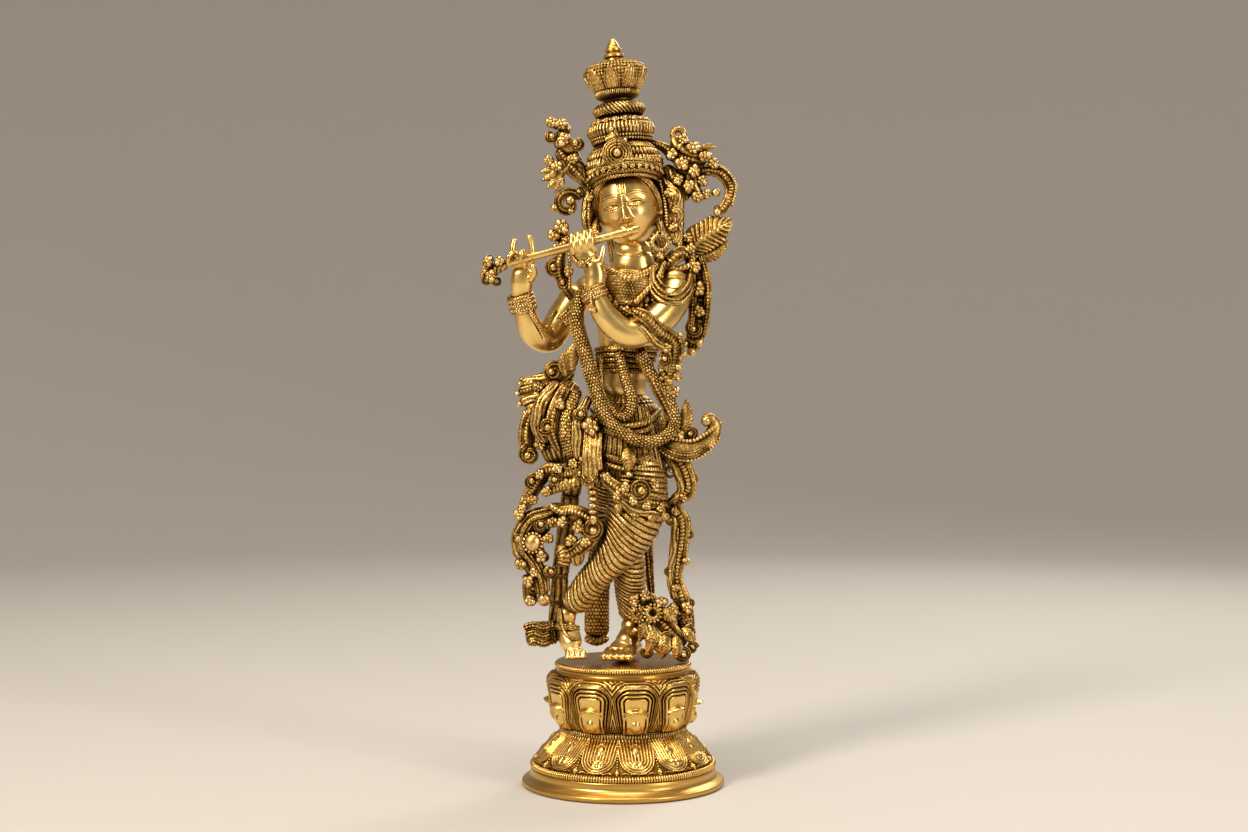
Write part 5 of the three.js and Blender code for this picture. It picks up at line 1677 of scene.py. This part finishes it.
def hair_spray_right():
    """The scroll, the lily and the fan of leaves beside the figure's right temple."""
    stem = [(-12, 1, 192), (-16, 1, 197), (-20, 1, 201), (-24, 1, 206), (-26.6, 1, 210)]
    made = [
        tube(stem, [2.16, 3, 3.84, 3.6, 2.64], scarf(1.4), 0.5, 0.8),
        tube(
            [(-14, 1, 196), (-19, 1, 204), (-22, 1, 210), (-27, 1, 217)], [1.8, 2.64, 2.8, 2.2],
            strands(7, 0.4, 8), 0.45,
        ),
        tube(
            [(-22, 0.6, 216), (-26, 0.4, 219.6), (-29.6, 0.6, 219.6)], [2.2, 2.7, 2.4], folds(4), 0.6, 0.9
        ),
        tube(
            [(-19.6, 0.6, 207.6), (-23.4, 0.2, 211.4), (-28.4, 0.4, 213)], [3.4, 4.0, 2.6], folds(5), 0.6,
            0.9,
        ),
        tube(
            [(-22, 0.8, 204), (-26.6, 0.4, 200.6), (-29, 0.4, 196.4)], [2.6, 3.8, 3.0], folds(4), 0.6, 0.9
        ),
        curl((-22.4, 0, 187), 5.5, 1.1, 20, 2.29),
        curl((-18.4, 0, 191.4), 2.2, -1.1, 100, 1.22),
        curl((-18.8, -1.4, 211.6), 2.6, 1.1, 150, 1.7),
        curl((-29.6, -1.2, 214.6), 2.2, -1.1, 30, 1.5),
        balls([(-28.2, 0, 185.4), (-21.4, -0.4, 184)], [1.7, 1.4], shape=PEARL),
    ]
    rosettes = [
        (-29.4, -1.2, 220.2, 2.8), (-25.2, -1.8, 219.2, 3.0), (-24.4, -2.8, 212.8, 3.4),
        (-30.2, -1.2, 204.4, 2.6), (-27, -2.4, 202, 2.8), (-20.6, -2.2, 205, 2.8),
    ]
    for k, (x, y, z, radius) in enumerate(rosettes):
        made.append(flower((x, y, z), radius, 5 + k % 2))
    for k, (x, z) in enumerate(((-34, 200), (-33.4, 196.4), (-31.4, 193), (-28.4, 191.4))):
        made.append(leaf((-24, -0.6, 200 - k), (x, -1.2, z), 2.1, (0, -0.7, 0.5)))
    return made


def hand_flowers():
    return [
        flower((-24.8, -10.5, 176.4), 3.81, 6),
        flower((-28, -9.6, 173), 3.02),
        flower((-22.8, -9.6, 171), 2.91),
        flower((-26, -9.6, 168.6), 2.58),
        tube(
            [(-25, -8.4, 176), (-24.8, -8, 167), (-26, -7.4, 160), (-24.4, -6, 153), (-21, -3, 148)],
            [2.75, 2, 3, 2.12, 1.5], scarf(1.3), 0.4,
        ),
        curl((-27.4, -8.6, 160), 3.3, 1.3, 60, 1.76),
        curl((-24.4, -7.6, 153.6), 2.64, -1.2, 160, 1.49),
        chain([(-22, -10.4, 168), (-21.4, -10.6, 160), (-21.6, -9.6, 152)], 0.8),
        flower((-22, -9.6, 158.6), 2.58),
    ]


def fan_drape():
    made = []
    for k, (x, z, wide) in enumerate(
        (
            (-41.6, 113.6, 2.1), (-42.8, 109.6, 2.3), (-42, 105.4, 2.4), (-39.6, 101.8, 2.3),
            (-36.4, 99.4, 2.2), (-33, 98.6, 2.0),
        )
    ):
        root = (-19 - 0.5 * k, 0.5, 126 - 2.6 * k)
        middle = (-27.5 - 0.4 * k, -2.6 + 0.2 * k, 117.4 - 3.1 * k)
        made.append(
            tube(
                [root, middle, (x, -0.6, z)], [1.7, 2.6, wide], scarf(1.4) if k % 2 else strands(7), 0.55,
                0.7,
            )
        )
        made.append(balls([(x - 0.4, -1.2, z - 0.4)], 1.3, shape=PEARL))
    made += [
        curl((-28, -3.6, 118), 3.52, 1.4, 30, 1.89),
        flower((-23.6, -3.6, 121.6), 2.91),
        flower((-34.4, -3, 112), 2.8, 6),
    ]
    made += [
        tube(
            [(-20, 0, 128), (-30, -1, 117.4), (-38, -1, 114), (-42.4, -0.8, 115.4)],
            [1.5, 1.88, 1.75, 1.25], rope(1.5, 3), 0.35,
        )
    ]
    return made


def hip_fold():
    """Paisley folds of the wrap that fall over the figure's right hip."""
    made = [
        tube(
            [(-20, -2, 114), (-26, -3, 104), (-28, -3, 92), (-26, -3, 80)], [4.6, 7.0, 7.4, 5.0],
            folds(16), 0.8, 0.5, sides=90,
        )
    ]
    bands = (
        (
            [(-33, -1, 106), (-38, -1.6, 99), (-39.4, -1.6, 91), (-38, -1.6, 83.6)],
            [2.6, 3.8, 4.0, 3.4],
            scarf(1.5),
        ),
        (
            [(-26, -6, 114), (-32, -7.4, 106), (-34.4, -7.6, 97), (-31, -7.6, 89)],
            [2.4, 3.4, 3.4, 2.4],
            strands(10, 0.2),
        ),
        (
            [(-22.6, -8, 113), (-27, -10, 104), (-28.6, -10.4, 95), (-25.4, -10.4, 86)],
            [2.4, 3.2, 3.3, 2.2],
            scarf(1.4),
        ),
        (
            [(-18, -9.6, 111), (-22, -12, 101), (-23, -12.6, 92), (-20.6, -12, 83)],
            [2.2, 3.0, 3.0, 2.0],
            pinecone(1.4),
        ),
        (
            [(-13.6, -10.4, 108), (-17.6, -12.8, 99), (-18.4, -13.4, 90), (-17.6, -12.8, 82)],
            [2.0, 2.7, 2.7, 1.8],
            strands(8, 0.2),
        ),
    )
    for path, radii, relief in bands:
        made.append(tube(path, radii, relief, 0.6, 0.75, sides=40))
    made += [
        curl((-38, -4.4, 84.4), 3.5, 1.3, 100, 1.8),
        curl((-30.8, -11.6, 96), 3.0, 1.3, 200, 1.7),
        curl((-17.6, -14.6, 101), 2.6, -1.2, 60, 1.5),
        leaf((-20.6, -11.6, 118), (-17.8, -12.6, 130.6), 3.2, (-1.4, -0.6, 0)),
        leaf((-23, -10.6, 116), (-22.6, -11.4, 127), 2.6, (-1, -0.6, 0)),
        flower((-25.4, -13.4, 105), 2.6),
        flower((-33.6, -6.6, 88.4), 2.8, 6),
        flower((-36.6, -4.6, 101), 2.6),
    ]
    return made


def scarf_cluster_right():
    path = [
        (-9, -12, 84), (-15, -12.4, 80.4), (-22, -9.6, 76.6), (-30, -6.4, 78), (-34, -4.4, 74),
        (-38, -4, 67.6), (-41, -4, 62),
    ]
    made = [tube(path, [2.25, 3.25, 3.62, 3.62, 3.38, 3.25, 3], scarf(1.4), 0.6, 0.8)]
    made.append(
        tube(
            [(-12, -12, 79), (-19, -11, 73.6), (-26, -8, 71.6), (-32, -6, 68.6)],
            [1.75, 2.62, 2.62, 1.75], rope(1.8, 3), 0.45,
        )
    )
    made += blossoms(
        [
            (-31, -8.6, 69.6, 2.7), (-36.8, -6.4, 66, 2.6), (-41, -5.6, 62.4, 2.4), (-26.4, -11, 79, 2.7),
            (-20, -13, 81, 2.5), (-15.6, -14.2, 83, 2.2), (-33.6, -8, 76.6, 2.5), (-23, -11.6, 73, 2.2),
        ]
    )
    made += [
        curl((-36.4, -5.6, 73), 3.08, 1.3, 20, 1.62),
        curl((-28, -9.6, 74), 2.64, -1.2, 120, 1.49),
        curl((-16.6, -13.4, 76.6), 2.64, 1.2, 80, 1.49),
    ]
    made += [tube([(-30, -6, 64), (-24, -8, 61), (-15, -9.6, 60.6)], [1.75, 1.88, 1.5], rope(1.6, 3), 0.4)]
    return made


def scarf_scroll_right():
    """The great S of the scarf: a ribbed band that doubles back below the hip."""
    path = [
        (-24, -3, 63), (-31, -3.4, 60), (-37.6, -3.2, 57.6), (-41.2, -3, 52), (-41, -3, 45.4),
        (-37, -3, 39.6), (-33.6, -3, 33.4), (-32.6, -3, 27),
    ]
    made = [
        tube(
            path, [2.8, 3.8, 4.0, 4.2, 4.4, 4.2, 3.6, 3.0], strands(11, 0.1), 0.75, 0.75, sides=70,
            step=0.3,
        ),
        tube(
            [(x, y - 3.2, z) for x, y, z in path], [0.8, 1.1, 1.2, 1.2, 1.2, 1.2, 1.1, 0.9],
            pinecone(1.1), 0.3, sides=20,
        ),
        tube(
            [(-30, -2.4, 56), (-35, -2.6, 51), (-34.6, -2.6, 45), (-30.6, -2.4, 41)],
            [2.4, 3.0, 3.0, 2.2], scarf(1.4), 0.6, 0.8,
        ),
        balls([(-36.6, -5.6, 48.6)], 3.7, (1, 0.9, 1.1), PEARL),
        ring_front((-36.6, -7.0, 48.6), 3.9, 16, 0.7),
        balls([(-32.2, -3.6, 25.4)], 2.9, shape=PEARL),
    ]
    for x, z, r in (
        (-28.4, 57, 2.9), (-33.2, 43, 2.9), (-41.6, 39.8, 2.8), (-38.4, 33, 2.7), (-42.4, 60, 2.7),
        (-30.4, 50.4, 2.6), (-36.2, 36.6, 2.4),
    ):
        made.append(flower((x, -6.4, z), r))
    for x, z, size, turns, start in (
        (-33.4, 55.4, 2.8, 1.3, -30), (-29.8, 37, 2.5, -1.2, 60), (-42, 50, 2.2, 1.2, 90)
    ):
        made.append(curl((x, -6, z), size, turns, start, 1.5))
    return made


def scarf_scroll_inner():
    path = [
        (-27, -6.4, 61), (-20, -9, 61.4), (-13, -10.6, 58), (-12, -11, 52.4), (-17, -10.6, 47),
        (-23, -9, 42.6),
    ]
    made = [tube(path, [2.47, 3.38, 3.64, 3.38, 3.64, 2.86], scarf(1.4), 0.6, 0.8)]
    made += [
        curl((-12.4, -13, 55), 4.07, 1.4, 150, 2.03),
        flower((-18, -12.4, 55.6), 3.14, 6),
        flower((-21, -11, 50), 2.91),
        flower((-15, -13, 49.4), 2.58),
        flower((-24.6, -9.6, 57.4), 2.69),
    ]
    made.append(
        tube(
            [(-26, -8.6, 48), (-23.6, -9.6, 43.6), (-24.4, -9.4, 39)], [2.99, 3.38, 2.6], rings(1.5, 2),
            0.5, 0.8,
        )
    )
    made.append(
        tube(
            [(-17, -10, 46), (-18.6, -9.6, 42.6), (-17.6, -9, 39.6)], [2.6, 3.12, 2.34], strands(7), 0.4,
            0.8,
        )
    )
    return made


def cape_right():
    """A narrow fall of beaded cloth behind the figure's right leg, with a fringed end."""
    made = [
        tube(
            [(-18, 8, 94), (-22, 8, 66), (-26, 6, 34), (-27.6, 4, 8)], [5.6, 4.0, 3.6, 4.0],
            folds(7, 1.7), 0.8, 0.5, sides=100,
        ),
        tube([(-37, 0, 36), (-38.2, 0, 30), (-37.8, 0, 22)], [3.0, 3.5, 3.0], scarf(1.3), 0.5, 0.8),
        flower((-38.6, -2.8, 33.6), 2.8),
        flower((-37.8, -2.8, 25), 2.7),
        curl((-36.4, -2.8, 29.4), 2.4, 1.2, 40, 1.4),
        tube([(-30, 3, 37), (-34, 2, 36), (-37, 1, 34)], 2.2, rope(1.6, 3), 0.4),
        tube(
            [(-26.5, 2, 11.6), (-33, 1.2, 10.8), (-40.2, 0.6, 10.6)], [4.8, 5.2, 5.0], pinecone(1.5), 0.7,
            0.8, sides=90, blunt=0.4,
        ),
    ]
    for k, z in enumerate((14.0, 10.8, 7.8)):
        fringe = [
            (-40.6 + k, -3.2, z - 0.4), (-36, -4.2, z + 0.8), (-32.6, -3.8, z - 0.4),
            (-29.6, -3.0, z + 0.4),
        ]
        made.append(tube(fringe, 1.85, scarf(1.3), 0.5, sides=26))
    return made


def back_drape():
    """Cloth that hangs behind the legs and shows between them."""
    made = [
        tube(
            [(-3, 14, 86), (-8, 14.5, 50), (-10.6, 14.5, 28), (-11, 13.4, 7)], [6.6, 5.8, 5.2, 5.4],
            pinecone(1.7), 0.8, 0.5, sides=90,
        ),
        tube(
            [(6, 14, 86), (9.6, 15, 50), (10.6, 15, 38), (12, 14, 25)], [6.4, 3.4, 2.8, 1.8], scarf(1.6),
            0.8, 0.5, sides=60,
        ),
        tube([(-5, 14, 80), (1, 15.4, 82), (7, 14, 80)], 3.0, rope(2.2, 3), 0.6),
        tube([(-16, 12, 8), (-11, 10.6, 6.2), (-6, 12, 8)], 1.8, rope(1.6, 3), 0.4),
    ]
    made.append(flower((1, 18, 82), 3.6, 8, (0, 1, 0)))
    return made


# ---- build --------------------------------------------------------------------------------------
piece("plinth_plate", plinth(), "turned")
piece("lower_lotus", lower_lotus(), "lotus")
piece("waist_collar", waist_collar(), "antique")
piece("upper_lotus", upper_lotus(), "lotus")
piece("deck_plate", deck(), "deck")
piece("deck_plate", deck_rim(), "lotus", "rim")

piece("head", head(), "skin")
piece("torso", torso(), "skin", voxel=0.5)
piece("torso", bodice(), "antique", "bodice")
piece("left_arm", left_arm(), "skin")
piece("left_hand", left_hand(), "skin", voxel=0.3, rounds=4)
piece("left_hand", hand_jewels((-15, -17.5, 163)), "antique", "jewels")
piece("right_arm", right_arm(), "skin")
piece("right_hand", right_hand(), "skin", voxel=0.3, rounds=4)
piece("left_leg", left_leg(), "antique")
piece("left_leg", left_foot(), "skin", "foot", voxel=0.3, rounds=4)
piece("right_leg", right_leg(), "antique")
piece("right_leg", right_foot(), "skin", "foot", voxel=0.3, rounds=4)
piece("flute", flute(), "skin", body="flute")
piece("flute_tassel", flute_tassel(), "antique", body="flute")

CHASED = {
    "skirt": skirt, "hair_back": hair, "side_lock_left": side_lock_left,
    "side_lock_right": side_lock_right, "earring_left": earring_left, "earring_right": earring_right,
    "crown_band": crown_band, "crown_dome": crown_dome, "crown_medallion": crown_medallion,
    "crown_spire": crown_spire, "crown_cup": crown_cup, "hair_spray_left": hair_spray_left,
    "hair_spray_right": hair_spray_right, "left_armlet": left_armlet, "left_bracelet": left_bracelet,
    "right_armlet": right_armlet, "right_bracelet": right_bracelet, "left_anklet": left_anklet,
    "right_anklet": right_anklet, "necklace": necklace, "outer_garland": outer_garland,
    "inner_garland": inner_garland, "waistband": waistband, "hand_flowers": hand_flowers,
    "sash_tails": sash_tails, "knee_flowers": knee_flowers, "hip_scroll": hip_scroll,
    "scarf_fall_left": scarf_fall_left, "foot_foliage": foot_foliage, "elbow_scarf": elbow_scarf,
    "shoulder_tassel": shoulder_tassel, "shoulder_feather": shoulder_feather, "fan_drape": fan_drape,
    "hip_fold": hip_fold, "scarf_cluster_right": scarf_cluster_right,
    "scarf_scroll_right": scarf_scroll_right, "scarf_scroll_inner": scarf_scroll_inner,
    "cape_right": cape_right, "back_drape": back_drape,
}
for node, make in CHASED.items():
    piece(node, make(), "antique")
piece("crown_finial", crown_finial(), "turned")

for name, node in frame["nodes"].items():
    node.data.materials.clear()
    node.data.materials.append(MATERIALS["steel" if "screw" in name or "nut" in name else "antique"])


# ---- stage --------------------------------------------------------------------------------------
def plain_floor():
    """A round pale studio: level ground that curves up into a wall on every side."""
    reach, bend, height, sides = 2.4, 1.2, 3.6, 96
    angles = np.linspace(0, math.pi / 2, 20)
    profile = [(reach - bend + bend * math.sin(k), bend * (1 - math.cos(k))) for k in angles]
    profile.append((reach, height))
    turns = [TURN * k / sides for k in range(sides)]
    vertices = [(0, 0, 0)] + [(r * math.cos(a), r * math.sin(a), z) for r, z in profile for a in turns]
    faces = [(0, 1 + k, 1 + (k + 1) % sides) for k in range(sides)]
    for row in range(len(profile) - 1):
        low, high = 1 + row * sides, 1 + (row + 1) * sides
        faces += [(low + k, high + k, high + (k + 1) % sides, low + (k + 1) % sides) for k in range(sides)]
    mesh = bpy.data.meshes.new("studio_floor")
    mesh.from_pydata(vertices, [], faces)
    mesh.polygons.foreach_set("use_smooth", [True] * len(faces))
    floor = bpy.data.objects.new("studio_floor", mesh)
    bpy.context.scene.collection.objects.link(floor)
    material = bpy.data.materials.new("studio_floor")
    material.use_nodes = True
    shader = material.node_tree.nodes["Principled BSDF"]
    shader.inputs["Base Color"].default_value = (0.56, 0.53, 0.5, 1)
    shader.inputs["Roughness"].default_value = 0.7
    mesh.materials.append(material)


def area_light(name, place, target, size, power, colour):
    light = bpy.data.lights.new(name, "AREA")
    light.shape = "RECTANGLE"
    light.size, light.size_y = size
    light.energy = power
    light.color = colour
    obj = bpy.data.objects.new(name, light)
    obj.location = place
    obj.rotation_euler = (Vector(target) - Vector(place)).to_track_quat("-Z", "Y").to_euler()
    bpy.context.scene.collection.objects.link(obj)


def stage():
    plain_floor()
    middle = (0, 0, 0.16)
    area_light("key", (-0.75, -0.85, 0.9), middle, (0.3, 0.45), 16, (1.0, 0.92, 0.78))
    area_light("fill", (0.85, -0.75, 0.5), middle, (0.25, 0.6), 5, (1.0, 0.93, 0.82))
    area_light("rim", (0.5, 0.8, 0.8), middle, (0.4, 0.4), 5, (1.0, 0.95, 0.88))
    area_light("top", (0, -0.15, 1.2), middle, (0.5, 0.4), 6, (1.0, 0.94, 0.84))
    world = bpy.data.worlds.new("studio")
    world.use_nodes = True
    background = world.node_tree.nodes["Background"]
    background.inputs["Color"].default_value = (0.9, 0.83, 0.74, 1)
    background.inputs["Strength"].default_value = 0.6
    bpy.context.scene.world = world
    bpy.context.scene.view_settings.view_transform = "Standard"  # keeps the gold as saturated as it is lit


def camera():
    """Level with the middle of the figure, and square to its front."""
    data = bpy.data.cameras.new("camera")
    data.sensor_width = 36
    data.lens = CAMERA_LENS
    obj = bpy.data.objects.new("camera", data)
    obj.location = CAMERA_PLACE
    obj.rotation_euler = (math.radians(90), 0, 0)
    bpy.context.scene.collection.objects.link(obj)
    bpy.context.scene.camera = obj


stage()
camera()
